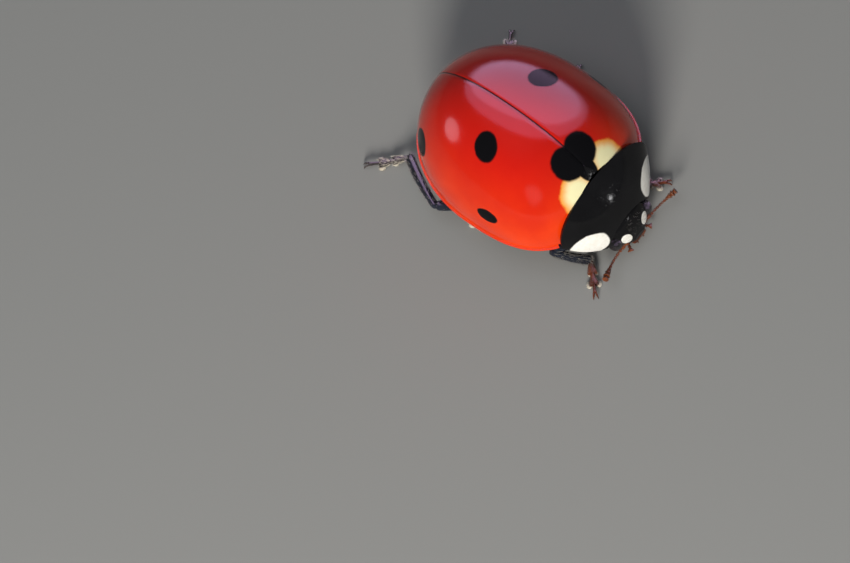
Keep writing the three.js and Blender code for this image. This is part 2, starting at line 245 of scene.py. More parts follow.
bpy.context.scene.view_settings.view_transform = "Standard"
WARM, COOL, LILAC = (1.0, 0.95, 0.88), (0.9, 0.94, 1.0), (0.86, 0.6, 1.0)
PINK, WHITE = (1.0, 0.8, 0.9), (1.0, 1.0, 1.0)
panel("key_panel", (-0.8, -0.55, 0.42), 130, (48, 48), 34.0, WARM, mirrored=False)
panel("top_panel", (-0.2, 0.1, 1.0), 140, (120, 120), 1.0, COOL, mirrored=False)
panel("left_panel", (0.6, 0.33, 0.82), 100, (225, 220), 1.9, LILAC, lights=False)
panel("left_heart", (0.66, 0.36, 0.72), 100, (175, 155), 2.4, LILAC, lights=False)
panel("back_panel", (-0.6, 0.77, 0.3), 120, (42, 42), 3.6, PINK, lights=False)
panel("glint_panel", (0.2, -0.97, 0.06), 150, (7, 7), 40.0, WHITE, lights=False)

# %% The air of the studio
AIR_TINT, AIR_STRENGTH = (0.9, 0.93, 1.0, 1), 0.14
world = bpy.data.worlds.new("studio")
bpy.context.scene.world = world
world.use_nodes = True
air = world.node_tree.nodes["Background"].inputs
air["Color"].default_value = AIR_TINT
air["Strength"].default_value = AIR_STRENGTH
print("air", AIR_STRENGTH)

# %% Floor
# It mirrors nothing, so that it stays darker than the beetle's sheen.
FLOOR_SIZE = 3.0  # metres, so that its edge is never in the picture
FLOOR_GREY, FLOOR_ROUGHNESS = (0.33, 0.335, 0.33, 1), 0.8
deselect()
bpy.ops.mesh.primitive_plane_add(size=FLOOR_SIZE, location=(0, 0, 0))
floor = bpy.context.object
floor.name = "floor"
floor_finish = bpy.data.materials.new("floor_finish")
floor_finish.use_nodes = True
floor_look = floor_finish.node_tree.nodes["Principled BSDF"].inputs
floor_look["Base Color"].default_value = FLOOR_GREY
floor_look["Roughness"].default_value = FLOOR_ROUGHNESS
floor_look["Specular IOR Level"].default_value = 0.0
floor.data.materials.append(floor_finish)
print("floor", FLOOR_SIZE, "m wide")

# %% [markdown]
# ## Finishes
# A beetle's shell is one glossy skin with its colours in it, so every finish here is a Principled shader fed
# by masks. The masks are worked out from each point's place in the beetle's own frame, in millimetres: then
# the spots lie where they do on a beetle, whichever piece is painted, and nothing has to be unwrapped.
# What several finishes share is a node group.

# %% Helpers for shader nodes
def feed(tree, made, inputs):
    """Sets each named input of a node to a value, or links it to the socket that is given."""
    for key, value in inputs.items():
        if isinstance(value, bpy.types.NodeSocket):
            tree.links.new(value, made.inputs[key])
        else:
            made.inputs[key].default_value = value
    return made


def node(tree, kind, inputs, **settings):
    made = tree.nodes.new("ShaderNode" + kind)
    for key, value in settings.items():
        setattr(made, key, value)
    return feed(tree, made, inputs)


def new_group(name, inputs, outputs):
    """A node group with named sockets: its tree, what it is given, and what it gives back."""
    tree = bpy.data.node_groups.new(name, "ShaderNodeTree")
    for label, (kind, value) in inputs.items():
        socket = tree.interface.new_socket(name=label, in_out="INPUT", socket_type="NodeSocket" + kind)
        socket.default_value = value
    for label, kind in outputs.items():
        tree.interface.new_socket(name=label, in_out="OUTPUT", socket_type="NodeSocket" + kind)
    given = tree.nodes.new("NodeGroupInput").outputs
    result = tree.nodes.new("NodeGroupOutput")
    return tree, given, result


def use(tree, group, **inputs):
    made = tree.nodes.new("ShaderNodeGroup")
    made.node_tree = group
    return feed(tree, made, inputs).outputs


# %% Node group: the place in the beetle's own frame
PLACE, given, result = new_group("beetle_place", {}, {"Place": "Vector", "Mirrored": "Vector"})
coordinate = node(PLACE, "TexCoord", {})
in_mm = node(PLACE, "Mapping", {
    "Vector": coordinate.outputs["Object"], "Location": -ORIGIN, "Scale": (1 / MM, 1 / MM, 1 / MM)})
parts = node(PLACE, "SeparateXYZ", {"Vector": in_mm.outputs["Vector"]})
aside_node = node(PLACE, "Math", {0: parts.outputs["X"]}, operation="ABSOLUTE")
both_sides = node(PLACE, "CombineXYZ", {
    "X": aside_node.outputs[0], "Y": parts.outputs["Y"], "Z": parts.outputs["Z"]})
feed(PLACE, result, {"Place": in_mm.outputs["Vector"], "Mirrored": both_sides.outputs["Vector"]})

# %% Node group: a patch
# A patch is where the surface lies inside a turned ellipsoid. Its edge wavers a little, as pigment does.
# Reach is the distance from the centre, as a share of the way to the edge.
PATCH, given, result = new_group(
    "pigment_patch",
    {
        "Place": ("Vector", (0, 0, 0)), "Centre": ("Vector", (0, 0, 0)), "Turn": ("Vector", (0, 0, 0)),
        "Radii": ("Vector", (1, 1, 1)), "Softness": ("Float", 0.08), "Waver": ("Float", 0.15),
    },
    {"Mask": "Float", "Reach": "Float"},
)
inside = node(PATCH, "Mapping", {
    "Vector": given["Place"], "Location": given["Centre"], "Rotation": given["Turn"],
    "Scale": given["Radii"]}, vector_type="TEXTURE")
distance = node(PATCH, "VectorMath", {0: inside.outputs["Vector"]}, operation="LENGTH")
ripple = node(PATCH, "TexNoise", {"Vector": given["Place"], "Scale": 3.2, "Detail": 3.0})
level = node(PATCH, "Math", {0: ripple.outputs["Fac"], 1: 0.5}, operation="SUBTRACT")
reach = node(PATCH, "Math", {
    0: level.outputs[0], 1: given["Waver"], 2: distance.outputs["Value"]}, operation="MULTIPLY_ADD")
outer = node(PATCH, "Math", {0: 1.0, 1: given["Softness"]}, operation="ADD")
inner = node(PATCH, "Math", {0: 1.0, 1: given["Softness"]}, operation="SUBTRACT")
edge = node(PATCH, "MapRange", {
    "Value": reach.outputs[0], "From Min": outer.outputs[0], "From Max": inner.outputs[0]},
    interpolation_type="SMOOTHSTEP")
feed(PATCH, result, {"Mask": edge.outputs["Result"], "Reach": reach.outputs[0]})

# %% Node group: fine pits
# Under a lens the shell is pricked all over with tiny pits, which break the edges of its reflections.
PITS, given, result = new_group(
    "fine_pits",
    {"Place": ("Vector", (0, 0, 0)), "Per mm": ("Float", 12.0), "Size": ("Float", 0.35)},
    {"Height": "Float"},
)
cells = node(PITS, "TexVoronoi", {"Vector": given["Place"], "Scale": given["Per mm"], "Randomness": 0.8})
pit = node(PITS, "MapRange", {
    "Value": cells.outputs["Distance"], "From Min": 0.0, "From Max": given["Size"]},
    interpolation_type="SMOOTHSTEP")
feed(PITS, result, {"Height": pit.outputs["Result"]})

# %% Node group: mottling
# Two sizes of soft noise: the broad one shifts a colour, and the fine one a roughness.
MOTTLE, given, result = new_group(
    "mottling",
    {"Place": ("Vector", (0, 0, 0)), "Broad per mm": ("Float", 0.7), "Fine per mm": ("Float", 9.0)},
    {"Broad": "Float", "Fine": "Float"},
)
for label in ("Broad", "Fine"):
    noise = node(MOTTLE, "TexNoise", {
        "Vector": given["Place"], "Scale": given[label + " per mm"], "Detail": 4.0})
    spread_out = node(MOTTLE, "MapRange", {
        "Value": noise.outputs["Fac"], "From Min": 0.3, "From Max": 0.7})
    feed(MOTTLE, result, {label: spread_out.outputs["Result"]})

# %% Helpers for finishes
def colour(red, green, blue):
    return (red, green, blue, 1)


def new_finish(name, **constants):
    """A material with its tree, its shader, and the beetle's place and mirrored place."""
    material = bpy.data.materials.new(name)
    material.use_nodes = True
    tree = material.node_tree
    shader = tree.nodes["Principled BSDF"]
    feed(tree, shader, constants)
    place = use(tree, PLACE)
    return material, tree, shader, place["Place"], place["Mirrored"]


def mixed(tree, share, first, second):
    """The first colour where the share is 0 and the second where it is 1."""
    blend = node(tree, "MixRGB", {"Fac": share, "Color1": first, "Color2": second})
    return blend.outputs["Color"]


def largest(tree, masks):
    joined = masks[0]
    for mask in masks[1:]:
        joined = node(tree, "Math", {0: joined, 1: mask}, operation="MAXIMUM").outputs[0]
    return joined


def roughen(tree, shader, share, low, high):
    span = node(tree, "MapRange", {"Value": share, "To Min": low, "To Max": high})
    feed(tree, shader, {"Roughness": span.outputs["Result"]})


def raise_bumps(tree, shader, height, depth_mm, strength=1.0):
    bump = node(tree, "Bump", {"Height": height, "Distance": depth_mm * MM, "Strength": strength})
    feed(tree, shader, {"Normal": bump.outputs["Normal"]})


# %% [markdown]
# ## Wing cases
# The two hard wing cases meet in a seam along the back and make one dome. Its outline from above and its
# outline from the side are both close to ellipses, so the dome is made of upright ellipses, one behind
# the other, bridged into a skin. The same could be sculpted from a ball, but rings keep the two outlines
# exact. The dome is cut at the rim and along the seam, and the lower edge is then pulled out
# into the narrow gutter and bead that a ladybird's wing cases have, and turned in below.

# %% The outline of the dome
WIDEST_Y, HIGHEST_Y = -0.42, -0.1
FRONT_PLAN, FRONT_PROFILE = 3.0, 3.42  # each outline would close this far in front of those places
PLAN_FRONT, PLAN_REAR = 2.7, 2.13  # powers of the outline from above: 2 is an ellipse, and more is squarer
PROFILE_FRONT, PROFILE_REAR = 2.11, 2.16  # powers of the outline from the side
BEAD = 0.05  # the rim stands out this far
BASE_Y = -3.04


def arch(t, power):
    """A quarter of a superellipse: 1 at t = 0, and 0 at t = 1."""
    return (1 - min(1, abs(t)) ** power) ** (1 / power)


def dome_width(y):
    """Half the width of the dome at the place y."""
    if y < WIDEST_Y:
        return (CASE_HALF - BEAD) * arch((WIDEST_Y - y) / FRONT_PLAN, PLAN_FRONT)
    return (CASE_HALF - BEAD) * arch((y - WIDEST_Y) / (REAR - BEAD - WIDEST_Y), PLAN_REAR)


def dome_height(y):
    """The height of the ridge at the place y."""
    if y < HIGHEST_Y:
        return CASE_HEIGHT * arch((HIGHEST_Y - y) / FRONT_PROFILE, PROFILE_FRONT)
    return CASE_HEIGHT * arch((y - HIGHEST_Y) / (REAR - BEAD - HIGHEST_Y), PROFILE_REAR)


print("halfway along: half width", round(dome_width(0), 3), "height", round(dome_height(0), 3))

# %% [markdown]
# The cases are red with seven black spots: one across the seam behind the scutellum, and three on each
# case. Low on the flanks the red turns orange: partly the shell's own colour and partly painted light, which
# stands in for the light that falls on the flanks. Two cream patches flank the scutellum. Each spot is a
# pigment patch that lies on the dome at an angle down from the ridge, so its place is worked out from the
# dome. A fine line of painted shade darkens the seam. The red is lacquered and the black pigment is not, so
# the spots stay dark where the red mirrors the light.

# %% Places on the dome
SMALL_STEP = 1e-3


def on_case(angle, y, turn=0.0):
    """A place on the left wing case, the angle in degrees down from the ridge, and the turn of a patch
    there: its first axis runs sideways, turned forward by the given degrees."""
    def place(down, along):
        return Vector((dome_width(along) * math.sin(down), along, dome_height(along) * math.cos(down)))
    down, step = math.radians(angle), SMALL_STEP
    here = place(down, y)
    aside = (place(down + step, y) - here).normalized()
    normal = aside.cross(place(down, y + step) - here).normalized()
    rearwards = normal.cross(aside)
    forward = math.radians(turn)
    first = aside * math.cos(forward) - rearwards * math.sin(forward)
    second = normal.cross(first)
    return here, Matrix((first, second, normal)).transposed().to_euler()


# %% Colours and spots of the wing cases
# The orange of the flanks is partly painted light, and the seam's dark red is painted shade.
RED, FLANK_ORANGE_AND_LIGHT, DARK_RED = colour(0.6, 0.01, 0.003), colour(0.82, 0.055, 0.004), colour(0.5, 0.006, 0.003)
CREAM_EDGE, CREAM_HEART = colour(0.85, 0.33, 0.04), colour(0.88, 0.84, 0.5)
SEAM_SHADE, SPOT_BLACK = colour(0.06, 0.003, 0.003), colour(0.004, 0.004, 0.005)
ORANGE_FROM, ORANGE_FULL = 2.6, 0.3  # the heights between which the red turns orange
HEART_FROM, HEART_FULL = 1.05, 0.45  # shares of the way to the edge between which a cream patch pales
SEAM_LINE_FROM, SEAM_LINE_FULL = 0.035, 0.01  # distances from the seam
LACQUER = 0.52  # the coat's weight on the red
PATCH_DEPTH = 0.6  # how far a patch reaches into the shell, so that it never runs out on a curve
# Each spot: (degrees down from the ridge, y, half length, half width, degrees turned forward)
SPOTS = {
    "central": (28.6, -0.39, 0.455, 0.355, 24),
    "lateral": (69.5, -1.09, 0.22, 0.34, 0),
    "rear": (63.0, 1.88, 0.43, 0.4, 10),
}
# The spot behind the scutellum: a lobe on each case, a bridge between them, and the tip before them.
# Each is (centre, turn, radii), and so is the cream patch.
LOBES = (
    ((0.27, -2.47, 2.3), (0, 0, math.radians(13)), (0.51, 0.42, 1.5)),
    ((0.0, -2.5, 2.3), (0, 0, 0), (0.25, 0.38, 1.5)),
    ((0.0, -2.82, 2.0), (0, 0, 0), (0.3, 0.36, 1.5)),
)
CREAM = ((0.68, -3.06, 1.75), (0, 0, math.radians(-4)), (0.6, 0.47, 1.5))
print(2 * len(SPOTS) + 1, "spots")

# %% Wing-case finish: the masks
WING_CASE, tree, shader, place, mirrored_place = new_finish("wing_case", **{
    "Specular IOR Level": 0.12, "Coat Roughness": 0.135})


def patch(centre, turn, radii, **settings):
    return use(tree, PATCH, Place=mirrored_place, Centre=centre, Turn=turn, Radii=radii, **settings)


def fading(value, start, full):
    """A mask that rises smoothly from 0 where the value is at its start to 1 where it is full."""
    fade = node(tree, "MapRange", {
        "Value": value, "From Min": start, "From Max": full}, interpolation_type="SMOOTHSTEP")
    return fade.outputs["Result"]


spot_masks = []
for angle, y, length, width, turn in SPOTS.values():
    spot_masks.append(patch(*on_case(angle, y, turn), (length, width, PATCH_DEPTH))["Mask"])
for lobe in LOBES:
    spot_masks.append(patch(*lobe)["Mask"])
black_share = largest(tree, spot_masks)
cream = patch(*CREAM, Softness=0.08, Waver=0.3)
mottle = use(tree, MOTTLE, Place=place)
height_of = node(tree, "SeparateXYZ", {"Vector": place}).outputs["Z"]
seam_distance = node(tree, "SeparateXYZ", {"Vector": mirrored_place}).outputs["X"]
print(len(spot_masks), "black patches")

# %% Wing-case finish: the colours and the lacquer
# Painted light, partly the shell's own colour: the red turns orange low on the flanks.
red = mixed(tree, fading(height_of, ORANGE_FROM, ORANGE_FULL), RED, FLANK_ORANGE_AND_LIGHT)
dark_share = node(tree, "Math", {0: mottle["Broad"], 1: 0.5}, operation="MULTIPLY")
red = mixed(tree, dark_share.outputs[0], red, DARK_RED)
pale = mixed(tree, fading(cream["Reach"], HEART_FROM, HEART_FULL), CREAM_EDGE, CREAM_HEART)
red = mixed(tree, cream["Mask"], red, pale)
# Painted shade: the red darkens along the seam's groove.
red = mixed(tree, fading(seam_distance, SEAM_LINE_FROM, SEAM_LINE_FULL), red, SEAM_SHADE)
lacquer = node(tree, "MapRange", {"Value": black_share, "To Min": LACQUER, "To Max": 0.0})
feed(tree, shader, {
    "Base Color": mixed(tree, black_share, red, SPOT_BLACK), "Coat Weight": lacquer.outputs["Result"]})
roughen(tree, shader, mottle["Fine"], 0.1, 0.17)
pits = use(tree, PITS, Place=place)
raise_bumps(tree, shader, pits["Height"], 0.004, 0.5)
print("wing-case finish", len(tree.nodes), "nodes")

# %% The dome
FRONT_END = -3.3
RINGS = 64
rings = []
for i in range(RINGS):
    turn = math.pi * (i + 0.5) / RINGS
    y = (REAR - BEAD + FRONT_END) / 2 - (REAR - BEAD - FRONT_END) / 2 * math.cos(turn)
    rings.append(((0, y, 0), dome_width(y), dome_height(y), UPRIGHT))
dome = loft("wing_case_left", rings, sides=128)
print("dome", len(dome.data.polygons), "faces")

# %% Cut to one wing case
GUTTER_Z = 0.13
SEAM_GAP, SEAM_EDGE = 0.006, 0.012  # the gap along the seam, and how far its edges are cut off
CUTS = {  # a place on each cut, and its direction towards the side that is kept
    "rim": ((0, 0, GUTTER_Z), (0, 0, 1)),
    "seam": ((SEAM_GAP / 2 + SEAM_EDGE, 0, 0), (1, 0, 0)),
    "base": ((0, BASE_Y, 0), (0.055, 1, 0)),
    "shoulder": ((1.75, BASE_Y - 0.1, 0), (-0.42, 1, 0)),
}
edit(dome)
for on_cut, towards_kept in CUTS.values():
    bpy.ops.mesh.select_all(action="SELECT")
    bpy.ops.mesh.bisect(plane_co=on_cut, plane_no=towards_kept, clear_inner=True)
done()
print("one case", len(dome.data.polygons), "faces")

# %% The gutter, the bead and the turned-in edge
# Each step is (scale in plan, height): out into the gutter, over the bead, and in below.
RIM_STEPS = (
    (1.004, 0.095), (1.011, 0.085), (1.016, 0.088), (1.0195, 0.08), (1.021, 0.06), (1.0195, 0.03),
    (1.013, 0.008), (1.0, 0.0), (0.97, 0.0), (0.93, 0.01), (0.88, 0.03), (0.835, 0.05),
)
SAME_PLACE = 1e-4  # lengths that differ by less than this are the same
CUT_CLEAR = 0.02  # the rim's own edge ends this near to the cuts of base and seam
edit(dome)
size, height = 1.0, GUTTER_Z
for next_size, next_height in RIM_STEPS:
    pick_rim(dome, lambda co: (
        abs(co.z - height) < SAME_PLACE and co.y > BASE_Y + CUT_CLEAR and co.x > CUT_CLEAR))
    bpy.ops.mesh.extrude_edges_move(
        TRANSFORM_OT_translate={"value": (0, 0, next_height - height)})
    grow = next_size / size
    bpy.ops.transform.resize(value=(grow, grow, 1), center_override=(0, 0, 0))
    size, height = next_size, next_height
done()
print("wing case", len(dome.data.polygons), "faces")

# %% The seam's edge, the second wing case and the thickness
def mirrored(piece, name):
    """A copy on the other side, with its own mesh, and its faces turned back to point outwards."""
    twin = piece.copy()
    twin.data = piece.data.copy()
    twin.name = name
    bpy.context.scene.collection.objects.link(twin)
    twin.scale = (-1, 1, 1)
    apply_all(twin)
    edit(twin)
    bpy.ops.mesh.select_all(action="SELECT")
    bpy.ops.mesh.flip_normals()
    done()
    return twin


CASE_THICKNESS = 0.1
edit(dome)
pick_rim(dome, lambda co: co.x < 0.04 and co.z > 0.3)  # the edge along the seam
bpy.ops.mesh.extrude_edges_move(TRANSFORM_OT_translate={"value": (-SEAM_EDGE, 0, -SEAM_EDGE)})
done()
wing_cases = {"left": dome, "right": mirrored(dome, "wing_case_right")}
for side, case in wing_cases.items():
    modify(case, "SOLIDIFY", thickness=CASE_THICKNESS, offset=-1)
    smooth(case, 50)
    settle(case, "wing_case", WING_CASE, "elytron_" + side)

# %% [markdown]
# ## Pronotum
# The shield behind the head is one arched plate. Each of its curves from side to side is half an ellipse,
# which leans forward more and more towards the head, so it is made of leaning ellipses, bridged
# and cut in half. It gets its thickness, and then the notch in front that the head fits in: a ball is
# subtracted from it, which leaves the smooth hollow margin of the real one. Its edges are rounded last.

# %% Black finish with white patches
# Each white patch is (centre, turn, radii) on the left side, and lies on both sides.
WHITE_CORNER = ((1.32, -3.6, -0.12), (0, math.radians(14), 0), (0.56, 0.9, 0.5))
HEAD_SPOT = ((0.4, -4.19, -0.655), (0, math.radians(20), 0), (0.155, 0.32, 0.2))
DULL_WHITE, BRIGHT_WHITE = colour(0.84, 0.83, 0.76), colour(0.93, 0.93, 0.89)
GREYER = 2.2  # the paler parts of the black are this much brighter


def black_finish(name, white_patch, roughness, pits_per_mm, pit_depth, black=(0.004, 0.004, 0.0045)):
    """Deep black shell, with a white patch on both sides where one is given."""
    material, tree, shader, place, mirrored_place = new_finish(name, **{"Specular IOR Level": 0.22})
    mottle = use(tree, MOTTLE, Place=place)
    shade = mixed(tree, mottle["Broad"], colour(*black), colour(*(GREYER * part for part in black)))
    if white_patch:
        centre, turn, radii = white_patch
        white_share = use(tree, PATCH, Place=mirrored_place, Centre=centre, Turn=turn, Radii=radii,
                          Softness=0.05, Waver=0.12)["Mask"]
        white = mixed(tree, mottle["Fine"], DULL_WHITE, BRIGHT_WHITE)
        shade = mixed(tree, white_share, shade, white)
    feed(tree, shader, {"Base Color": shade})
    roughen(tree, shader, mottle["Fine"], *roughness)
    pits = use(tree, PITS, **{"Place": place, "Per mm": pits_per_mm})
    raise_bumps(tree, shader, pits["Height"], pit_depth, 0.5)
    print(name, len(tree.nodes), "nodes")
    return material


SHIELD_BLACK = black_finish("shield_black", WHITE_CORNER, (0.06, 0.13), pits_per_mm=14.0, pit_depth=0.003)
HEAD_BLACK = black_finish("head_black", HEAD_SPOT, (0.08, 0.16), pits_per_mm=22.0, pit_depth=0.0015)

# %% The arched plate
# The middle and the left end of its hind and its front margin
PRONOTUM_HIND = (Vector((0, -3.08, 1.5)), Vector((1.93, -3.2, 0.26)))
PRONOTUM_FRONT = (Vector((0, -4.1, -0.3)), Vector((0.95, -3.88, -0.7)))
CROWN, SIDE_CROWN = 0.17, 0.1  # how far it bulges between them, in the middle and at the sides


def pronotum_curve(v):
    """The middle and the left end of the plate's curve at v, from hind to front margin."""
    middle = PRONOTUM_HIND[0].lerp(PRONOTUM_FRONT[0], v)
    corner = PRONOTUM_HIND[1].lerp(PRONOTUM_FRONT[1], v)
    run = PRONOTUM_HIND[0] - PRONOTUM_FRONT[0]
    slope = math.atan2(run.z, run.y)
    bulge = math.sin(math.pi * v)
    forward = min(1, 2 * v)
    middle.y -= CROWN * bulge * math.sin(slope) * forward
    middle.z += CROWN * bulge * (math.cos(slope) + math.sin(slope) * (1 - forward))
    corner.x += SIDE_CROWN * bulge
    corner.z -= SIDE_CROWN * bulge
    return middle, corner


PRONOTUM_RINGS = 40
rings = []
for i in range(PRONOTUM_RINGS + 1):
    middle, corner = pronotum_curve(i / PRONOTUM_RINGS)
    rise = Vector((0, middle.y - corner.y, middle.z - corner.z))
    rings.append(((0, corner.y, corner.z), corner.x, rise.length, math.atan2(rise.z, rise.y)))
pronotum = loft("neck_shield", rings, sides=112, caps=False)
edit(pronotum)
bpy.ops.mesh.select_all(action="SELECT")
side_run = PRONOTUM_FRONT[1] - PRONOTUM_HIND[1]
bpy.ops.mesh.bisect(
    plane_co=PRONOTUM_HIND[1], plane_no=(0, -side_run.z, side_run.y), clear_outer=True)
done()
print("arched plate", len(pronotum.data.polygons), "faces")

# %% Thickness, the notch for the head, and round edges
SHIELD_THICKNESS, MARGIN_BEVEL = 0.1, 0.028
NOTCH_CENTRE, NOTCH_RADII = (0, -4.1, -0.75), (0.93, 0.9, 0.82)
modify(pronotum, "SOLIDIFY", thickness=SHIELD_THICKNESS, offset=-1)
deselect()
bpy.ops.mesh.primitive_uv_sphere_add(
    segments=96, ring_count=64, radius=1, location=NOTCH_CENTRE, scale=NOTCH_RADII)
notch = bpy.context.object
apply_all(notch)
modify(pronotum, "BOOLEAN", operation="DIFFERENCE", object=notch, solver="EXACT")
bpy.data.objects.remove(notch)
modify(pronotum, "BEVEL", limit_method="ANGLE", angle_limit=math.radians(50), width=MARGIN_BEVEL, segments=4)
smooth(pronotum, 40)
settle(pronotum, "black_shell", SHIELD_BLACK, "pronotum")

# %% [markdown]
# ## Scutellum
# The small black triangle between the bases of the wing cases is a wedge: a three-sided prism, rounded by
# a bevel, and leaned with the slope of the dome there, so that its face lies just above the cases.

# %% The small triangle
SCUTELLUM_Y, SCUTELLUM_WIDTH, SCUTELLUM_LENGTH, SCUTELLUM_THICK = -2.94, 0.36, 0.42, 0.2
SCUTELLUM_RISE = 0.014  # how far its face stands above the wing cases
SCUTELLUM_BEVEL = 0.03
slope_reach = 0.05
scutellum_slope = math.atan2(
    dome_height(SCUTELLUM_Y + slope_reach) - dome_height(SCUTELLUM_Y - slope_reach), 2 * slope_reach)
deselect()
bpy.ops.mesh.primitive_cylinder_add(vertices=3, radius=1, depth=SCUTELLUM_THICK, location=(0, 0, 0))
scutellum = bpy.context.object
scutellum.name = "small_triangle"
edit(scutellum)
bpy.ops.mesh.select_all(action="SELECT")
# A triangle in a circle of radius 1 is the root of 3 wide and 1.5 long, and its tip points to +Y.
bpy.ops.transform.resize(
    value=(SCUTELLUM_WIDTH / math.sqrt(3), SCUTELLUM_LENGTH / 1.5, 1), center_override=(0, 0, 0))
bpy.ops.mesh.bevel(offset=SCUTELLUM_BEVEL, segments=4, affect="EDGES")
done()
scutellum.rotation_euler = (scutellum_slope, 0, 0)
outwards = Vector((0, -math.sin(scutellum_slope), math.cos(scutellum_slope)))
scutellum.location = (
    Vector((0, SCUTELLUM_Y, dome_height(SCUTELLUM_Y))) - outwards * (SCUTELLUM_THICK / 2 - SCUTELLUM_RISE))
apply_all(scutellum)
smooth(scutellum, 60)
settle(scutellum, "black_shell", HEAD_BLACK, "scutellum")

# %% [markdown]
# ## Small parts that repeat
# Feelers, palps, feet and legs are chains of joints. Each kind of joint is modelled once, 1 mm long and
# upright, through circles, and a copy with its own mesh is laid from one place to the next: its length is
# stretched to fit and its thickness is scaled, so that the rim of each joint stays crisp.

# %% Copies laid between two places
Z_UP = Vector((0, 0, 1))
templates = []


def template(name, profile, sides, bow=0.0):
    """A joint along Z through (share of length, half width, half depth), bowed towards Y."""
    rings = [((0, bow * math.sin(math.pi * t), t), across, depth, 0) for t, across, depth in profile]
    made = loft(name, rings, sides=sides)
    smooth(made, 50)
    templates.append(made)
    print("template", name, len(made.data.polygons), "faces")
    return made


def lie_between(start, end, up=Z_UP, thick=1.0):
    """The matrix that lays a template from start to end, its Y towards up."""
    along = Vector(end) - Vector(start)
    z = along.normalized()
    x = Vector(up).cross(z).normalized()
    y = z.cross(x)
    turn = Matrix((x, y, z)).transposed().to_4x4()
    return Matrix.Translation(start) @ turn @ Matrix.Diagonal((thick, thick, along.length, 1))


def lay(source, start, end, up=Z_UP, thick=1.0):
    """A copy of a template with its own mesh, laid from start to end."""
    twin = source.copy()
    twin.data = source.data.copy()
    bpy.context.scene.collection.objects.link(twin)
    twin.matrix_world = lie_between(start, end, up, thick)
    apply_all(twin)
    return twin


def joined(pieces, name):
    choose(pieces[0])
    for piece in pieces:
        piece.select_set(True)
    bpy.ops.object.join()
    pieces[0].name = name
    return pieces[0]


def on_side(sign, place):
    """A place of the left side, or its mirror image on the right where the sign is -1."""
    x, y, z = place
    return Vector((sign * x, y, z))


def ball(name, centre, radii, segments, ring_count, turn=(0, 0, 0)):
    deselect()
    bpy.ops.mesh.primitive_uv_sphere_add(
        segments=segments, ring_count=ring_count, radius=1, location=centre, rotation=turn, scale=radii)
    made = bpy.context.object
    made.name = name
    apply_all(made)
    smooth(made, 60)
    return made


def curve_point(root, bend, tip, t):
    """A place along the smooth curve from root to tip that passes the bend half way."""
    root, bend, tip = Vector(root), Vector(bend), Vector(tip)
    pull = 2 * bend - (root + tip) / 2
    return root * (1 - t) ** 2 + pull * 2 * t * (1 - t) + tip * t ** 2


# A joint of a feeler: narrow at its root, and widest near its end, where the next one sits in it
FEELER_JOINT = template("feeler_joint", (
    (0.0, 0.3, 0.3), (0.06, 0.42, 0.42), (0.25, 0.62, 0.6), (0.55, 0.85, 0.8), (0.8, 0.98, 0.92),
    (0.93, 1.0, 0.94), (0.985, 0.9, 0.84), (1.0, 0.7, 0.65)), sides=16)
# The last joint of a palp: an axe head, flat and wide at its end
AXE_JOINT = template("axe_joint", (
    (0.0, 0.3, 0.3), (0.1, 0.45, 0.38), (0.35, 0.8, 0.5), (0.7, 1.3, 0.52), (0.92, 1.55, 0.46),
    (0.985, 1.5, 0.36), (1.0, 1.4, 0.22)), sides=20)
# A claw: a hook that tapers to a point
HOOK = template("hook", (
    (0.0, 0.03, 0.036), (0.15, 0.03, 0.036), (0.4, 0.023, 0.028), (0.7, 0.015, 0.018), (0.9, 0.008, 0.01),
    (1.0, 0.002, 0.002)), sides=10, bow=0.05)

# %% [markdown]
# ## Head
# The head is a wide, short capsule that hangs forward and down out of the notch. It is made of ellipses
# from the neck to the mouth, whose tops slope down quickly into the flat face. The margin above the mouth
# is inset and pulled out in front, and the sockets of the feelers are pressed in.

# %% Head capsule
HEAD_RINGS = (  # (y, z of the middle, half width, half height)
    (-3.3, -0.6, 0.3, 0.25), (-3.38, -0.59, 0.5, 0.42), (-3.5, -0.57, 0.64, 0.54),
    (-3.65, -0.56, 0.7, 0.59), (-3.8, -0.57, 0.725, 0.61), (-3.9, -0.59, 0.72, 0.59),
    (-3.98, -0.63, 0.69, 0.56), (-4.05, -0.68, 0.64, 0.51), (-4.11, -0.74, 0.57, 0.45),
    (-4.16, -0.8, 0.49, 0.38), (-4.2, -0.86, 0.4, 0.3), (-4.235, -0.91, 0.31, 0.21),
    (-4.25, -0.94, 0.25, 0.14),
)
MARGIN_INSET, MARGIN_MOVE = 0.03, (0, -0.02, -0.03)


def crosswise(rings):
    """Rings across the beetle, each given as (y, z of the middle, half width, half height)."""
    return [((0, y, z), wide, high, UPRIGHT) for y, z, wide, high in rings]


head = loft("head_capsule", crosswise(HEAD_RINGS), sides=72)
FRONT_FACE = HEAD_RINGS[-1][0] + 0.002
edit(head)
pick(head, lambda co: co.y < FRONT_FACE)
bpy.ops.mesh.inset(thickness=MARGIN_INSET, depth=0)
bpy.ops.mesh.extrude_region_move(TRANSFORM_OT_translate={"value": MARGIN_MOVE})
bpy.ops.mesh.inset(thickness=MARGIN_INSET, depth=-0.006)
done()
print("head capsule", len(head.data.polygons), "faces")

# %% Feeler sockets
SOCKET, SOCKET_REACH = (0.42, -4.13, -0.95), 0.07
SOCKET_INWARDS, SOCKET_DEEP, SOCKET_SOFTNESS = 0.03, 0.035, 0.09
edit(head)
for side in (1, -1):
    pick(head, lambda co: (co - on_side(side, SOCKET)).length < SOCKET_REACH)
    bpy.ops.transform.translate(
        value=(-side * SOCKET_INWARDS, SOCKET_DEEP, 0), use_proportional_edit=True,
        proportional_edit_falloff="SMOOTH", proportional_size=SOCKET_SOFTNESS)
done()
modify(head, "SUBSURF", levels=1, render_levels=1)
smooth(head, 50)
settle(head, "black_shell", HEAD_BLACK, "head")

# %% [markdown]
# ## Compound eyes
# An eye is a ball of hundreds of tiny six-sided lenses. Cutting the corners off a fine icosphere turns
# its triangles into just such a honeycomb. Each facet is inset and raised a little, so that the eye glitters
# instead of shining like a bead. It sits deep in the side of the head, and the right one mirrors the left.

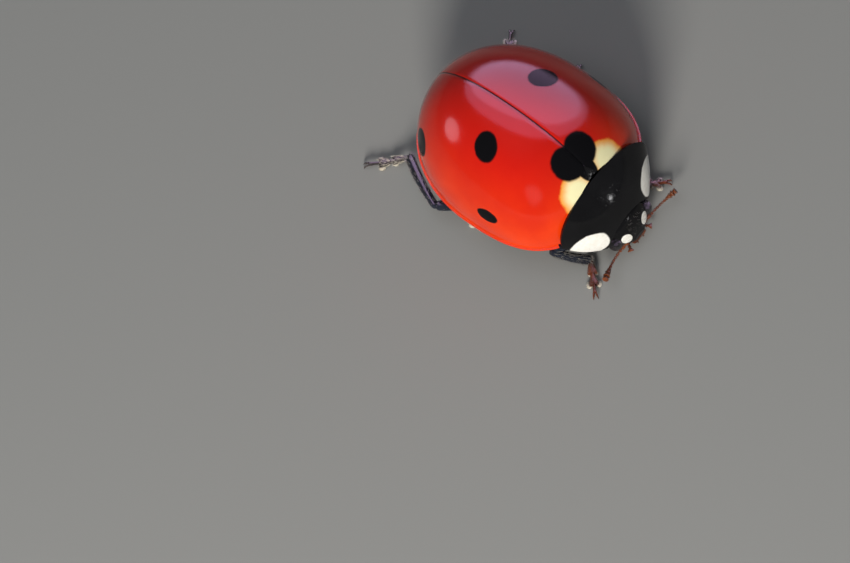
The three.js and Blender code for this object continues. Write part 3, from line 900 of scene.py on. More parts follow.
# %% Eye finish
EYE_BLACK, EYE_SHEEN = colour(0.003, 0.003, 0.004), colour(0.012, 0.01, 0.012)
EYE_FINISH, tree, shader, place, _ = new_finish("eye_lenses", **{
    "Coat Weight": 1.0, "Coat Roughness": 0.04, "Specular IOR Level": 0.9})
mottle = use(tree, MOTTLE, **{"Place": place, "Broad per mm": 4.0})
feed(tree, shader, {"Base Color": mixed(tree, mottle["Broad"], EYE_BLACK, EYE_SHEEN)})
roughen(tree, shader, mottle["Fine"], 0.04, 0.1)

# %% The honeycomb
EYE_CENTRE, EYE_RADII = Vector((0.67, -3.93, -0.74)), Vector((0.215, 0.225, 0.275))
EYE_SHRINK = 0.985  # the raised facets make up for the rest of its size
FACET_GROOVE, FACET_RISE = 0.14, 0.2  # shares of a facet's size
RISE_STEPS = (0.6, 0.4)  # the facet rises in two steps, which makes it round
CORNER_SHARE = 33.3  # percent of each edge that is cut off, which leaves six equal sides
deselect()
bpy.ops.mesh.primitive_ico_sphere_add(subdivisions=4, radius=1, location=(0, 0, 0))
honeycomb = bpy.context.object
honeycomb.name = "lens_eye_left"
edit(honeycomb)
bpy.ops.mesh.select_all(action="SELECT")
bpy.ops.mesh.bevel(offset_type="PERCENT", offset_pct=CORNER_SHARE, affect="VERTICES")
bpy.ops.mesh.select_all(action="SELECT")
facet = 2 * math.sqrt(math.pi / len(honeycomb.data.polygons))
for step in RISE_STEPS:
    bpy.ops.mesh.inset(thickness=FACET_GROOVE * facet, depth=FACET_RISE * facet * step, use_individual=True)
done()
honeycomb.scale = EYE_RADII * EYE_SHRINK
honeycomb.location = EYE_CENTRE
apply_all(honeycomb)
eyes = {"left": honeycomb, "right": mirrored(honeycomb, "lens_eye_right")}
for side, eye in eyes.items():
    settle(eye, "compound_eye", EYE_FINISH, "eye_" + side)

# %% Finishes of horn and hair
def horn_finish(name, light, dark, roughness=(0.22, 0.4)):
    """Horn that darkens in patches, for feelers, mouthparts, feet, legs and hairs."""
    material, tree, shader, place, _ = new_finish(name)
    mottle = use(tree, MOTTLE, **{"Place": place, "Broad per mm": 2.5, "Fine per mm": 14.0})
    feed(tree, shader, {"Base Color": mixed(tree, mottle["Broad"], colour(*light), colour(*dark))})
    roughen(tree, shader, mottle["Fine"], *roughness)
    pits = use(tree, PITS, **{"Place": place, "Per mm": 26.0})
    raise_bumps(tree, shader, pits["Height"], 0.003, 0.6)
    print(name, len(tree.nodes), "nodes")
    return material


BROWN_HORN = horn_finish("brown_horn", (0.22, 0.062, 0.02), (0.075, 0.02, 0.009))
DARK_LEG = horn_finish("dark_leg", (0.022, 0.028, 0.045), (0.008, 0.009, 0.014), (0.16, 0.3))
FOOT_BROWN = horn_finish("foot_brown", (0.2, 0.05, 0.018), (0.045, 0.013, 0.007))
# The hind feet's dark horn is lightened towards grey, partly a painted sheen that stands in for their
# reflection.
FOOT_DARK_AND_SHEEN = horn_finish("foot_dark_and_sheen", (0.1, 0.085, 0.075), (0.035, 0.03, 0.03))
PALE_BRISTLE = horn_finish("pale_bristle", (0.75, 0.71, 0.6), (0.55, 0.5, 0.4), (0.4, 0.6))
PALE_HAIR = horn_finish("pale_hair", (0.32, 0.3, 0.27), (0.14, 0.13, 0.12), (0.35, 0.5))

# %% [markdown]
# ## Feelers
# Each feeler has eleven joints: a stout first one, a small second, a thin shaft, and a club of three that
# is cut off square at its end. The joints are copies of one cup.

# %% Feelers
FEELERS = {  # root, middle and tip
    "left": ((0.43, -4.12, -0.95), (1.05, -4.14, -1.02), (1.64, -4.3, -0.88)),
    "right": ((-0.43, -4.12, -0.95), (-1.03, -4.12, -1.02), (-1.69, -4.36, -0.86)),
}
# (share of the feeler's length, half thickness)
FEELER_JOINTS = (
    (0.17, 0.066), (0.085, 0.054), (0.12, 0.042), (0.08, 0.04), (0.08, 0.04), (0.075, 0.041), (0.075, 0.043),
    (0.07, 0.052), (0.085, 0.08), (0.08, 0.1), (0.08, 0.092))
JOINT_OVERLAP = 0.012  # how deep each joint sits in the one before it, as a share of the feeler
FEELER_ROOT, ROOT_RADII = (0.42, -4.11, -0.94), (0.08, 0.08, 0.08)  # the ball that turns in the socket
for side, path in FEELERS.items():
    joints, reached = [], 0.0
    for share, thick in FEELER_JOINTS:
        start = curve_point(*path, max(0, reached - JOINT_OVERLAP))
        reached += share
        joints.append(lay(FEELER_JOINT, start, curve_point(*path, min(1, reached)), thick=thick))
    root = on_side(math.copysign(1, path[0][0]), FEELER_ROOT)
    joints.append(ball("socket", root, ROOT_RADII, 20, 14))
    settle(joined(joints, "feeler_" + side), "brown_horn", BROWN_HORN, "antenna_" + side)

# %% [markdown]
# ## Mouthparts
# Below the face sit the upper lip, a pair of curved jaws, the palps with their axe-shaped last joint, and
# the lower lip with its two small feelers. The lips are oval plates: flat cylinders whose rims are bevelled
# round. The jaws are hooks, and the rest are the joints of the feelers again.

# %% Lips and jaws
RIM_SHARE = 0.42  # of a plate's thickness, which its round rim takes up


def rounded_plate(name, centre, size, turn, notch):
    """An oval plate of a size (across, long, thick) with round edges, and a shallow notch in front."""
    across, long, thick = size
    deselect()
    bpy.ops.mesh.primitive_cylinder_add(vertices=48, radius=0.5, depth=1, location=(0, 0, 0))
    made = bpy.context.object
    made.name = name
    made.scale = size
    apply_all(made)
    edit(made)
    bpy.context.tool_settings.mesh_select_mode = (False, False, True)
    bpy.ops.mesh.select_face_by_sides(number=4, type="GREATER")
    bpy.ops.mesh.region_to_loop()
    bpy.ops.mesh.bevel(offset=RIM_SHARE * thick, segments=4, affect="EDGES")
    pick(made, lambda co: co.y < -0.44 * long)  # the front margin
    bpy.ops.transform.translate(
        value=(0, notch, 0), use_proportional_edit=True, proportional_edit_falloff="SMOOTH",
        proportional_size=0.25 * across)
    done()
    made.rotation_euler = (turn, 0, 0)
    made.location = centre
    apply_all(made)
    smooth(made, 60)
    return made


mouthparts = [
    rounded_plate("upper_lip", (0, -4.235, -1.055), (0.46, 0.19, 0.07), math.radians(62), 0.03),
    rounded_plate("lower_lip", (0, -4.06, -1.24), (0.32, 0.26, 0.07), math.radians(-8), 0.0),
    rounded_plate("lower_lip_front", (0, -4.17, -1.24), (0.19, 0.14, 0.06), math.radians(6), 0.025),
]
JAW_HOOKS = (  # root and tip of the left jaw's two points, and how much thicker than a claw they are
    ((0.24, -4.06, -1.1), (0.02, -4.25, -1.16), 2.1),
    ((0.22, -4.08, -1.16), (0.03, -4.22, -1.19), 1.6),
)
JAW_BOW = (1, -0.6, 0)  # the way that the left jaw is bowed
LIP_FEELER = ((0.07, -4.12, -1.26), (0.1, -4.16, -1.29), (0.12, -4.2, -1.3), (0.12, -4.25, -1.3))
LIP_FEELER_THICK = 0.026
for side in (1, -1):
    for root, tip, thick in JAW_HOOKS:
        mouthparts.append(
            lay(HOOK, on_side(side, root), on_side(side, tip), up=on_side(side, JAW_BOW), thick=thick))
    for start, end in zip(LIP_FEELER, LIP_FEELER[1:]):
        mouthparts.append(
            lay(FEELER_JOINT, on_side(side, start), on_side(side, end), thick=LIP_FEELER_THICK))
settle(joined(mouthparts, "mouthparts"), "brown_horn", BROWN_HORN, "mouth")

# %% Palps
PALP_PATH = ((0.3, -3.96, -1.12), (0.38, -4.12, -1.21), (0.48, -4.27, -1.24))
PALP_SHARES = (0.0, 0.22, 0.46, 0.66, 1.0)  # where each of its four joints ends
PALP_THICK, AXE_THICK = 0.055, 0.062
for side, sign in (("left", 1), ("right", -1)):
    path = [on_side(sign, place) for place in PALP_PATH]
    ends = [curve_point(*path, share) for share in PALP_SHARES]
    joints = [lay(FEELER_JOINT, a, b, thick=PALP_THICK) for a, b in zip(ends[:3], ends[1:4])]
    joints.append(lay(AXE_JOINT, ends[3], ends[4], thick=AXE_THICK))
    settle(joined(joints, "palp_chain_" + side), "brown_horn", BROWN_HORN, "palp_" + side)

# %% [markdown]
# ## Legs
# Each leg is a hip ball, a thick thigh with a groove that the shin folds into, a shin that widens towards
# the foot and ends in two spurs, and a foot. Three joints of the foot show: the first two are broad and
# two-lobed, with pale pads below, and the last is slender and carries two claws, each with a tooth at
# its base. Thigh, shin and joints are templates, so a leg is posed by the places of its ends alone.

# %% Where the legs stand
LEG_PLACES = {  # hip, knee, ankle, and where the tip of the foot stands on the floor
    "front_left": ((0.55, -3.06, -0.9), (1.95, -2.35, -0.47), (1.32, -3.18, -1.2), (1.9, -3.86)),
    "middle_left": ((0.85, -2.05, -0.9), (2.66, -1.45, -0.44), (2.6, 0.05, -1.2), (3.32, 0.66)),
    "hind_left": ((0.95, -0.95, -0.9), (2.72, 0.72, -0.48), (2.2, 2.5, -1.2), (3.08, 2.98)),
    "front_right": ((-0.55, -3.06, -0.9), (-1.97, -2.7, -0.47), (-1.36, -3.49, -1.2), (-2.17, -4.3)),
    "middle_right": ((-0.85, -2.05, -0.9), (-2.25, -1.75, -0.48), (-2.26, -0.45, -1.2), (-2.28, 0.42)),
    "hind_right": ((-0.95, -0.95, -0.9), (-2.76, 0.95, -0.5), (-1.82, 2.84, -1.18), (-2.76, 3.86)),
}
LEGS = {
    name: (Vector(hip), Vector(knee), Vector(ankle), toe)
    for name, (hip, knee, ankle, toe) in LEG_PLACES.items()
}
for name, (hip, knee, ankle, toe) in LEGS.items():
    print(name, "thigh", round((knee - hip).length, 2), "shin", round((ankle - knee).length, 2), "mm")

# %% Profiles of the leg's joints
# Each ring is (share of the joint's length, half width, half depth).
THIGH = (
    (0.0, 0.08, 0.08), (0.03, 0.11, 0.11), (0.1, 0.15, 0.13), (0.25, 0.19, 0.155), (0.45, 0.215, 0.17),
    (0.6, 0.212, 0.165), (0.75, 0.195, 0.15), (0.88, 0.175, 0.14), (0.95, 0.16, 0.13), (0.985, 0.13, 0.105),
    (1.0, 0.08, 0.06))
SHIN = (
    (0.0, 0.06, 0.07), (0.02, 0.09, 0.1), (0.07, 0.105, 0.115), (0.14, 0.1, 0.11), (0.3, 0.115, 0.115),
    (0.5, 0.13, 0.12), (0.7, 0.142, 0.122), (0.88, 0.15, 0.125), (0.95, 0.15, 0.125), (0.985, 0.13, 0.105),
    (1.0, 0.09, 0.07))
LOBED = (
    (0.0, 0.045, 0.05), (0.05, 0.06, 0.06), (0.2, 0.07, 0.06), (0.45, 0.1, 0.058), (0.7, 0.135, 0.054),
    (0.88, 0.15, 0.046), (0.97, 0.138, 0.034), (1.0, 0.12, 0.02))
CLAW_JOINT = (
    (0.0, 0.035, 0.035), (0.2, 0.042, 0.042), (0.5, 0.045, 0.045), (0.8, 0.055, 0.055), (0.94, 0.06, 0.058),
    (0.99, 0.05, 0.05), (1.0, 0.035, 0.035))
SPINE = ((0.0, 0.012, 0.012), (0.5, 0.009, 0.009), (1.0, 0.001, 0.001))
print(sum(len(profile) for profile in (THIGH, SHIN, LOBED, CLAW_JOINT, SPINE)), "rings in five profiles")

# %% Leg templates
GROOVE, GROOVE_DEPTH = 0.075, 0.07  # half width and depth, in mm
SHIN_BOW = 0.05
NOTCH_DEPTH, NOTCH_SOFTNESS = 0.24, 0.07  # of the notch between the two lobes

thigh = template("thigh", THIGH, sides=28)
edit(thigh)
pick(thigh, lambda co: co.y < -0.05 and abs(co.x) < GROOVE and 0.3 < co.z < 0.99)
bpy.ops.transform.translate(value=(0, GROOVE_DEPTH, 0))
done()
modify(thigh, "SUBSURF", levels=1, render_levels=1)
shin = template("shin", SHIN, sides=24, bow=SHIN_BOW)
modify(shin, "SUBSURF", levels=1, render_levels=1)
lobed = template("lobed_joint", LOBED, sides=24)
edit(lobed)
pick(lobed, lambda co: co.z > 0.96 and abs(co.x) < 0.05)  # the middle of its end
bpy.ops.transform.translate(
    value=(0, 0, -NOTCH_DEPTH), use_proportional_edit=True, proportional_edit_falloff="SMOOTH",
    proportional_size=NOTCH_SOFTNESS)
done()
claw_joint = template("claw_joint", CLAW_JOINT, sides=16)
spine = template("spine", SPINE, sides=6)
for made in (thigh, shin, lobed, claw_joint, spine):
    smooth(made, 60)

# %% Thighs and shins
HIP_RADII = (0.25, 0.2, 0.22)
THIGH_START = 0.08  # share of the way from hip to knee
TROCHANTER, TROCHANTER_RADII = 0.13, (0.17, 0.15, 0.14)  # the small joint between hip and thigh
SHIN_WIDTH, KNEE_OVERLAP = 1.12, 0.05
SPUR_ROOT, SPUR_LENGTH, SPUR_DROP, SPUR_THICK = 0.05, 0.13, 0.02, 1.5
SPUR_GAP, SPUR_SPREAD = 0.06, 0.03


def shin_place(hip, knee, ankle):
    """Where the shin starts and ends, and the way that its back faces."""
    down = (ankle - knee).normalized()
    return knee - down * KNEE_OVERLAP, ankle, Vector((math.copysign(1, hip.x), 0, 0.6))


for name, (hip, knee, ankle, toe) in LEGS.items():
    thigh_parts = [
        lay(thigh, hip.lerp(knee, THIGH_START), knee),
        ball("hip", hip, HIP_RADII, 28, 18),
        ball("trochanter", hip.lerp(knee, TROCHANTER), TROCHANTER_RADII, 20, 14),
    ]
    settle(joined(thigh_parts, "thigh_" + name), "black_leg", DARK_LEG, "femur_" + name)
    start, end, outwards = shin_place(hip, knee, ankle)
    shin_parts = [lay(shin, start, end, up=outwards, thick=SHIN_WIDTH)]
    down = (ankle - knee).normalized()
    inner = outwards.cross(down).normalized()
    for side in (-1, 1):
        root = ankle - down * SPUR_ROOT + inner * side * SPUR_GAP
        tip = root + down * SPUR_LENGTH + Vector((0, 0, -SPUR_DROP)) + inner * side * SPUR_SPREAD
        shin_parts.append(lay(spine, root, tip, thick=SPUR_THICK))
    settle(joined(shin_parts, "shin_" + name), "black_leg", DARK_LEG, "tibia_" + name)

# %% Places along a foot
# Each is (share of the foot's reach, height above the floor), and those of the claws also have the distance
# from its middle line.
FIRST_END, SECOND_START, SECOND_END = (0.37, 0.16), (0.31, 0.155), (0.66, 0.1)
CLAW_JOINT_START, CLAW_JOINT_END = (0.52, 0.13), (0.87, 0.16)
CLAW_ROOT, CLAW_TIP, TOOTH_TIP = (0.86, 0.16, 0.03), (0.995, 0.012, 0.07), (0.94, 0.06, 0.035)


def along_foot(ankle, toe, share, height, aside=0.0):
    """A place along the foot that stands between the ankle and the toe."""
    forward = Vector((toe[0] - ankle.x, toe[1] - ankle.y, 0))
    sideways = Z_UP.cross(forward).normalized()
    return Vector((ankle.x, ankle.y, FLOOR_Z + height)) + forward * share + sideways * aside


def foot_joints(ankle, toe):
    """The start and the end of the foot's two lobed joints."""
    return (
        (along_foot(ankle, toe, -0.02, ankle.z - FLOOR_Z), along_foot(ankle, toe, *FIRST_END)),
        (along_foot(ankle, toe, *SECOND_START), along_foot(ankle, toe, *SECOND_END)),
    )


for name, (hip, knee, ankle, toe) in LEGS.items():
    print(name, "foot reaches", round(math.hypot(toe[0] - ankle.x, toe[1] - ankle.y), 2), "mm")

# %% Feet
FOOT_WIDTH = 0.95
TOOTH_START, TOOTH_THICK = 0.12, 0.7  # how far along the claw its tooth begins, and how thick it is
PAD_RADII = (0.085, 0.11, 0.048)
PAD_TURN = 0.3  # the two pads of a joint are turned apart
# Each pair: (share of the foot's reach, distance from its middle line, size, height above the floor)
PAD_PAIRS = ((0.31, 0.075, 0.75, 0.03), (0.6, 0.125, 1.0, 0.0))
pad_places = []
for name, (hip, knee, ankle, toe) in LEGS.items():
    foot = [lay(lobed, start, end, thick=FOOT_WIDTH) for start, end in foot_joints(ankle, toe)]
    foot.append(
        lay(claw_joint, along_foot(ankle, toe, *CLAW_JOINT_START), along_foot(ankle, toe, *CLAW_JOINT_END)))
    for side in (1, -1):
        base, tip, tooth_tip = (
            along_foot(ankle, toe, share, height, side * spread)
            for share, height, spread in (CLAW_ROOT, CLAW_TIP, TOOTH_TIP))
        foot.append(lay(HOOK, base, tip))
        foot.append(lay(HOOK, base.lerp(tip, TOOTH_START), tooth_tip, thick=TOOTH_THICK))
    foot_finish = FOOT_BROWN if name.startswith("front") else FOOT_DARK_AND_SHEEN
    settle(joined(foot, "foot_" + name), "brown_foot", foot_finish, "tarsus_" + name)
    pads = []
    direction = math.atan2(toe[1] - ankle.y, toe[0] - ankle.x) - math.pi / 2
    for share, spread, size, rise in PAD_PAIRS:
        for side in (1, -1):
            centre = along_foot(ankle, toe, share, PAD_RADII[2] * size + rise, side * spread)
            pad_places.append((centre, size))
            radii = [size * radius for radius in PAD_RADII]
            pads.append(ball("pad", centre, radii, 18, 12, (0, 0, direction + side * PAD_TURN)))
    settle(joined(pads, "pads_" + name), "brown_foot", PALE_BRISTLE, "tarsus_" + name)

# %% [markdown]
# ## Underside
# The breast is two blocks, before and behind the first pair of hips, and the belly is six plates that lap
# over each other. All are rows of ellipses, because the underside is one flat, round bowl: the belly's rows
# step down and in again at each plate, and the breast's plates are inset so that a fine groove runs round
# each. A white patch marks each side of the breast, behind the corner of the neck shield.

# %% Underside finishes
BREAST_PATCH = ((2.02, -2.4, -0.32), (0, 0, 0), (0.5, 0.3, 0.26))
DULL_BLACK, DULL = (0.008, 0.008, 0.009), (0.3, 0.45)
BREAST_BLACK = black_finish("breast_black", BREAST_PATCH, DULL, 16.0, 0.01, DULL_BLACK)
BELLY_BLACK = black_finish("belly_black", None, DULL, 18.0, 0.008, DULL_BLACK)

# %% The breast behind the neck shield
FRONT_BREAST = (  # (y, z of the middle, half width, half height)
    (-3.02, 0.12, 1.66, 1.06), (-3.06, 0.1, 1.74, 1.1), (-3.2, 0.0, 1.78, 1.0), (-3.35, -0.12, 1.62, 0.88),
    (-3.5, -0.27, 1.42, 0.73), (-3.62, -0.4, 1.2, 0.6), (-3.7, -0.5, 1.0, 0.48),
)
KEEL, KEEL_RISE = 0.14, 0.04  # half width and height of the keel between the front hips
front_breast = loft("front_breast", crosswise(FRONT_BREAST), sides=64)
edit(front_breast)
bpy.ops.mesh.select_all(action="SELECT")
for side in (1, -1):
    bpy.ops.mesh.bisect(plane_co=(side * KEEL, 0, 0), plane_no=(1, 0, 0))
    bpy.ops.mesh.select_all(action="SELECT")
pick(front_breast, lambda co: abs(co.x) < KEEL + SAME_PLACE and co.z < -0.8)
bpy.ops.mesh.extrude_region_move(TRANSFORM_OT_translate={"value": (0, 0, -KEEL_RISE)})
done()
smooth(front_breast, 40)
settle(front_breast, "black_underside", BELLY_BLACK, "prothorax")

# %% The bowl of the underside
BELLY_DEPTH, DEEPEST_Y, BELLY_FRONT, BELLY_REAR, BELLY_POWER = 0.95, -1.7, 3.2, 4.52, 2.2
BELLY_SHARE = 0.8  # of the dome's half width
ROUND_FROM, ROUND_END, ROUND_POWER = 1.2, 2.95, 2.6  # where the belly rounds in to its tip


def belly_ring(y, step=0.0):
    """A ring of the underside at the place y, larger by a step."""
    reach = BELLY_FRONT if y < DEEPEST_Y else BELLY_REAR
    depth = BELLY_DEPTH * arch((y - DEEPEST_Y) / reach, BELLY_POWER) + step
    rounding = arch(max(0, y - ROUND_FROM) / (ROUND_END - ROUND_FROM), ROUND_POWER)
    return (0, y, 0), BELLY_SHARE * dome_width(y) * rounding + step, depth, UPRIGHT


print("deepest", round(belly_ring(DEEPEST_Y)[2], 2), "mm below the rim")

# %% The hind breast
BREAST_ENDS, BREAST_ROWS = (-2.98, -0.56), 30
BREAST_PLATES = ((1.35, -1.72, -0.7), (1.2, -2.72, -1.85))  # (half width, front, rear)
SIDE_PLATE = (1.5, -2.72, -2.08)  # (nearest to the middle, front, rear)
PLATE_GROOVE = 0.02
# The groove is pressed in first, and then the plate rises again inside it.
BREAST_RELIEF, SIDE_RELIEF = (-0.012, 0.016), (-0.01, 0.03)


def groove(relief):
    for depth in relief:
        bpy.ops.mesh.inset(thickness=PLATE_GROOVE, depth=depth)


front, rear = BREAST_ENDS
rings = [belly_ring(front + (rear - front) * i / BREAST_ROWS) for i in range(BREAST_ROWS + 1)]
hind_breast = loft("hind_breast", rings, sides=96)
edit(hind_breast)
for half, front, rear in BREAST_PLATES:
    for side in (1, -1):
        pick(hind_breast, lambda co: 0.01 < side * co.x < half and front < co.y < rear and co.z < -0.3)
        groove(BREAST_RELIEF)
nearest, front, rear = SIDE_PLATE
for side in (1, -1):
    pick(hind_breast, lambda co: side * co.x > nearest and front < co.y < rear and co.z < -0.08)
    groove(SIDE_RELIEF)
done()
smooth(hind_breast, 35)
settle(hind_breast, "black_underside", BREAST_BLACK, "thorax")

# %% The belly
VENTRITES, VENTRITE_STEP = 6, 0.03  # the belly's plates, and how far the end of each stands out
SHORTENING = 0.9  # a power over which the plates get a little shorter towards the tip
BELLY_ENDS = (-0.61, 2.68)
PLATE_ROWS = (0.02, 0.15, 0.4, 0.65, 0.85, 0.95, 0.99)
TURN_IN, STEEPNESS = 0.9, 4  # each plate rises up to this share of its length, and then turns in
TIP_LENGTH, TIP_STEP = 0.05, -0.08
rings = []
for i in range(VENTRITES):
    front, rear = (
        BELLY_ENDS[0] + (BELLY_ENDS[1] - BELLY_ENDS[0]) * (n / VENTRITES) ** SHORTENING for n in (i, i + 1))
    for share in PLATE_ROWS:
        lip = VENTRITE_STEP * (share if share < TURN_IN else TURN_IN - STEEPNESS * (share - TURN_IN))
        rings.append(belly_ring(front + (rear - front) * share, lip))
rings.append(belly_ring(BELLY_ENDS[1] + TIP_LENGTH, TIP_STEP))
belly = loft("belly_plates", rings, sides=96)
smooth(belly, 30)
settle(belly, "black_underside", BELLY_BLACK, "abdomen")

# %% [markdown]
# ## Hairs
# Short pale hairs lie along the legs, feet and feelers, on the face and the upper lip, and over the
# underside; the pads stand on brushes of them. Each is a thin three-sided spike that leans towards the tip
# of its limb. Particle hair would be quicker to comb, but it is no mesh, so a few thousand spikes
# are written as arrays into a few meshes instead. Their map OFBake gives each hair a tiny patch at its
# root's place on the unrolled limb, so that a hair takes its colour from one spot.

# %% Hairs as one mesh
HAIR_SIDES = 3
# The two rings of a hair, one in the skin and one half way: (share of the length, share of the thickness)
HAIR_RINGS = ((-0.12, 1.0), (0.5, 0.8))
HAIR_ARCH = 0.12  # how far the middle of a hair is lifted, as a share of its length
BAKE_PATCH = 0.003
random.seed(7)


def hair_mesh(name, hairs, slot, material):
    """One mesh of hairs, each given as (root, direction, lift, length, half thickness, place on the map)."""
    points, faces, places = [], [], []
    for root, direction, lift, length, thick, (u, v) in hairs:
        first = len(points)
        side = direction.orthogonal().normalized()
        other = direction.cross(side)
        for level, (share, wide) in enumerate(HAIR_RINGS):
            middle = root + direction * length * share + lift * length * HAIR_ARCH * level
            for k in range(HAIR_SIDES):
                turn = 2 * math.pi * k / HAIR_SIDES
                points.append(middle + (side * math.cos(turn) + other * math.sin(turn)) * thick * wide)
                places.append((u + BAKE_PATCH * k / HAIR_SIDES, v + BAKE_PATCH * level / 2))
        points.append(root + direction * length)
        places.append((u + BAKE_PATCH / 2, v + BAKE_PATCH))
        tip = first + 2 * HAIR_SIDES
        faces.append([first + k for k in reversed(range(HAIR_SIDES))])
        for k in range(HAIR_SIDES):
            a, b = first + k, first + (k + 1) % HAIR_SIDES
            faces.append([a, b, b + HAIR_SIDES, a + HAIR_SIDES])
            faces.append([a + HAIR_SIDES, b + HAIR_SIDES, tip])
    mesh = bpy.data.meshes.new(name)
    mesh.from_pydata(points, [], faces)
    bake_map = mesh.uv_layers.new(name="OFBake")
    for loop in mesh.loops:
        bake_map.data[loop.index].uv = places[loop.vertex_index]
    coat = bpy.data.objects.new(name, mesh)
    bpy.context.scene.collection.objects.link(coat)
    smooth(coat, 60)
    print(len(hairs), "hairs")
    return settle(coat, slot, material)


# %% Hairs on a joint
TILES = 8  # the map is parted into 8 by 8 strips, one for each hairy joint
STRIP_FILL = 0.9  # share of a strip that its hairs take up
LEAN_SPREAD, LENGTH_SPREAD = (0.6, 1.5), (0.7, 1.25)
CLEAR = 0.006  # a hair that would come nearer to the floor is left out


def on_profile(profile, share):
    """The half width and the half depth of a joint at a share of its length."""
    for (t0, across0, depth0), (t1, across1, depth1) in zip(profile, profile[1:]):
        if share <= t1:
            blend = (share - t0) / (t1 - t0)
            return across0 + (across1 - across0) * blend, depth0 + (depth1 - depth0) * blend
    return profile[-1][1:]


def hairs_on_joint(
        profile, placing, count, length, tile, lean=0.35, span=(0.05, 0.98), bow=0.0, thick=0.0038):
    """Hairs on a laid joint. Its placing is the matrix that laid it, and tile its strip on the map."""
    turned = placing.to_3x3()
    along = (turned @ Z_UP).normalized()
    column, row = tile % TILES, tile // TILES
    hairs = []
    for _ in range(count):
        share = span[0] + (span[1] - span[0]) * random.random()
        turn = random.uniform(-math.pi, math.pi)
        across, depth = on_profile(profile, share)
        bowed = bow * math.sin(math.pi * share)
        root = placing @ Vector((across * math.cos(turn), depth * math.sin(turn) + bowed, share))
        out = (turned @ Vector((depth * math.cos(turn), across * math.sin(turn), 0))).normalized()
        direction = (along + out * (lean * random.uniform(*LEAN_SPREAD))).normalized()
        round_joint = (turn / math.pi + 1) * (STRIP_FILL / 2)
        place = ((column + share * STRIP_FILL) / TILES, (row + round_joint) / TILES)
        reach = length * random.uniform(*LENGTH_SPREAD)
        if (root + direction * reach).z > FLOOR_Z + CLEAR:
            hairs.append((root, direction, out, reach, thick, place))
    return hairs


print(TILES * TILES, "strips on the map")

# %% Hairs of legs and feet
# Each kind of hair: how many lie on one joint, and their length
THIGH_HAIRS, SHIN_HAIRS, SHIN_FRINGE, FOOT_HAIRS = (70, 0.09), (230, 0.11), (57, 0.12), (110, 0.1)
leg_hairs, foot_hairs = [], {"front": [], "rear": []}
for number, (name, (hip, knee, ankle, toe)) in enumerate(LEGS.items()):
    thigh_placing = lie_between(hip.lerp(knee, THIGH_START), knee)
    leg_hairs += hairs_on_joint(THIGH, thigh_placing, *THIGH_HAIRS, number)
    shin_placing = lie_between(*shin_place(hip, knee, ankle), SHIN_WIDTH)
    leg_hairs += hairs_on_joint(SHIN, shin_placing, *SHIN_HAIRS, TILES + number, bow=SHIN_BOW)
    leg_hairs += hairs_on_joint(
        SHIN, shin_placing, *SHIN_FRINGE, TILES + number, span=(0.93, 0.99), bow=SHIN_BOW, thick=0.005)
    for joint, (start, end) in enumerate(foot_joints(ankle, toe)):
        foot_hairs["front" if name.startswith("front") else "rear"] += hairs_on_joint(
            LOBED, lie_between(start, end, thick=FOOT_WIDTH), *FOOT_HAIRS, (2 + joint) * TILES + number,
            lean=0.5, span=(0.3, 0.98))
hair_mesh("leg_hairs", leg_hairs, "black_leg", PALE_HAIR)
hair_mesh("front_foot_hairs", foot_hairs["front"], "brown_foot", PALE_HAIR)
hair_mesh("rear_foot_hairs", foot_hairs["rear"], "brown_foot", PALE_BRISTLE)

# %% Bristles round the pads
BRISTLES, BRISTLE_LENGTH, BRISTLE_THICK = 34, (0.03, 0.055), 0.0055
BRISTLE_HEIGHT, BRISTLE_SLOPE = (-0.3, 0.6), (-0.45, 0.1)  # where on the pad they root, and how they lean
BRISTLE_RING = 0.85  # they root this far out, as a share of the pad's half width
PAD_ROW, PAD_ROW_STEP = 5, 0.3  # their strips on the map
pad_bristles = []
for number, (centre, size) in enumerate(pad_places):
    column, row = number % TILES, PAD_ROW + number // TILES * PAD_ROW_STEP
    for _ in range(BRISTLES):
        turn = random.uniform(-math.pi, math.pi)
        out = Vector((math.cos(turn), math.sin(turn), 0))
        height = Vector((0, 0, random.uniform(*BRISTLE_HEIGHT) * PAD_RADII[2] * size))
        root = centre + height + out * PAD_RADII[0] * size * BRISTLE_RING
        direction = (out + Vector((0, 0, random.uniform(*BRISTLE_SLOPE)))).normalized()
        place = ((column + 0.1) / TILES + turn / 60 + 0.05, (row + 0.1) / TILES)
        pad_bristles.append((root, direction, Z_UP, random.uniform(*BRISTLE_LENGTH), BRISTLE_THICK, place))
hair_mesh("pad_bristles", pad_bristles, "brown_foot", PALE_BRISTLE)

# %% Hairs of the feelers
FEELER_PROFILE = ((0.0, 0.4, 0.4), (0.6, 0.9, 0.85), (1.0, 1.0, 0.95))
SHAFT_HAIRS, CLUB_HAIRS, CLUB_FROM = 12, 26, 8  # on each joint of shaft and club, and the club's first joint
FEELER_ROW = 4
feeler_hairs = []
for path in FEELERS.values():
    start_share = 0.0
    for number, (share, thick) in enumerate(FEELER_JOINTS):
        end_share = start_share + share
        placing = lie_between(
            curve_point(*path, start_share), curve_point(*path, min(1, end_share)), thick=thick)
        start_share = end_share
        feeler_hairs += hairs_on_joint(
            FEELER_PROFILE, placing, CLUB_HAIRS if number >= CLUB_FROM else SHAFT_HAIRS, 0.05,
            FEELER_ROW * TILES + number % TILES, lean=0.6, thick=0.004)

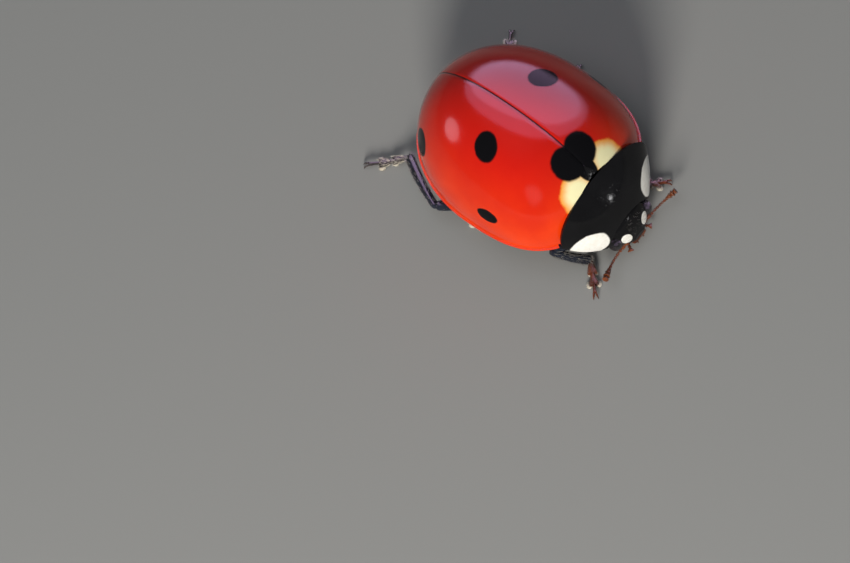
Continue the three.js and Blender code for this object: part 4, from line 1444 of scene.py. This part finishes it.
# %% Hairs of lip and face
LIP_HAIRS, LIP_HAIR_LENGTH, LIP_HAIR_THICK = 34, (0.05, 0.08), 0.005
LIP_FRONT, LIP_MAP = Vector((0, -4.27, -1.08)), (0.65, 0.96)  # where they root, and their place on the map
FACE_HAIRS, FACE_HAIR_LENGTH, FACE_HAIR_THICK = 90, (0.03, 0.05), 0.0025
FACE_FROM, FACE_MAP = 7, (0.55, 0.77)  # the first of the head's rings that has hairs
face_hairs = []
for _ in range(LIP_HAIRS):
    share = random.uniform(-1, 1)
    root = LIP_FRONT + Vector((0.2 * share, 0.03 * share * share, random.uniform(-0.05, 0.03)))
    direction = Vector((0.25 * share, -0.55, -1)).normalized()
    place = (LIP_MAP[0] + 0.1 * share, LIP_MAP[1])
    face_hairs.append(
        (root, direction, Vector((0, -1, 0)), random.uniform(*LIP_HAIR_LENGTH), LIP_HAIR_THICK, place))
for _ in range(FACE_HAIRS):
    row = random.uniform(FACE_FROM, len(HEAD_RINGS) - 2.01)
    (y0, z0, wide0, high0), (y1, z1, wide1, high1) = HEAD_RINGS[int(row)], HEAD_RINGS[int(row) + 1]
    blend = row % 1
    turn = math.radians(random.uniform(15, 165))
    wide, high = wide0 + (wide1 - wide0) * blend, high0 + (high1 - high0) * blend
    out = Vector((high * math.cos(turn), -0.25 * high, wide * math.sin(turn))).normalized()
    root = Vector((
        wide * math.cos(turn), y0 + (y1 - y0) * blend, z0 + (z1 - z0) * blend + high * math.sin(turn)))
    direction = (out * 0.5 + Vector((0, -0.6, -0.6))).normalized()
    place = (FACE_MAP[0] + turn / 8, FACE_MAP[1] + row / 80)
    face_hairs.append((root, direction, out, random.uniform(*FACE_HAIR_LENGTH), FACE_HAIR_THICK, place))
hair_mesh("feeler_hairs", feeler_hairs, "brown_horn", PALE_HAIR)
hair_mesh("face_hairs", face_hairs, "black_shell", PALE_HAIR)

# %% Hairs of the underside
BELLY_HAIRS, BELLY_HAIR_LENGTH, BELLY_HAIR_THICK = 1100, (0.07, 0.12), 0.005
BELLY_HAIRS_FROM, BELLY_HAIRS_TO, BELLY_MAP = -2.85, 2.62, (0.02, 0.88)
belly_hairs = []
for _ in range(BELLY_HAIRS):
    y = random.uniform(BELLY_HAIRS_FROM, BELLY_HAIRS_TO)
    turn = math.radians(random.uniform(12, 168))
    _, wide, deep, _ = belly_ring(y)
    root = Vector((wide * math.cos(turn), y, -deep * math.sin(turn)))
    out = Vector((deep * math.cos(turn), 0, -wide * math.sin(turn))).normalized()
    direction = (out * 0.3 + Vector((0, 1, 0))).normalized()
    place = (BELLY_MAP[0] + turn / 8, BELLY_MAP[1] + y / 26)
    belly_hairs.append((root, direction, out, random.uniform(*BELLY_HAIR_LENGTH), BELLY_HAIR_THICK, place))
hair_mesh("belly_hairs", belly_hairs, "black_underside", PALE_HAIR)

# %% [markdown]
# ## The last step
# The templates have done their work and are deleted.

# %% The last step
for source in templates:
    bpy.data.objects.remove(source)
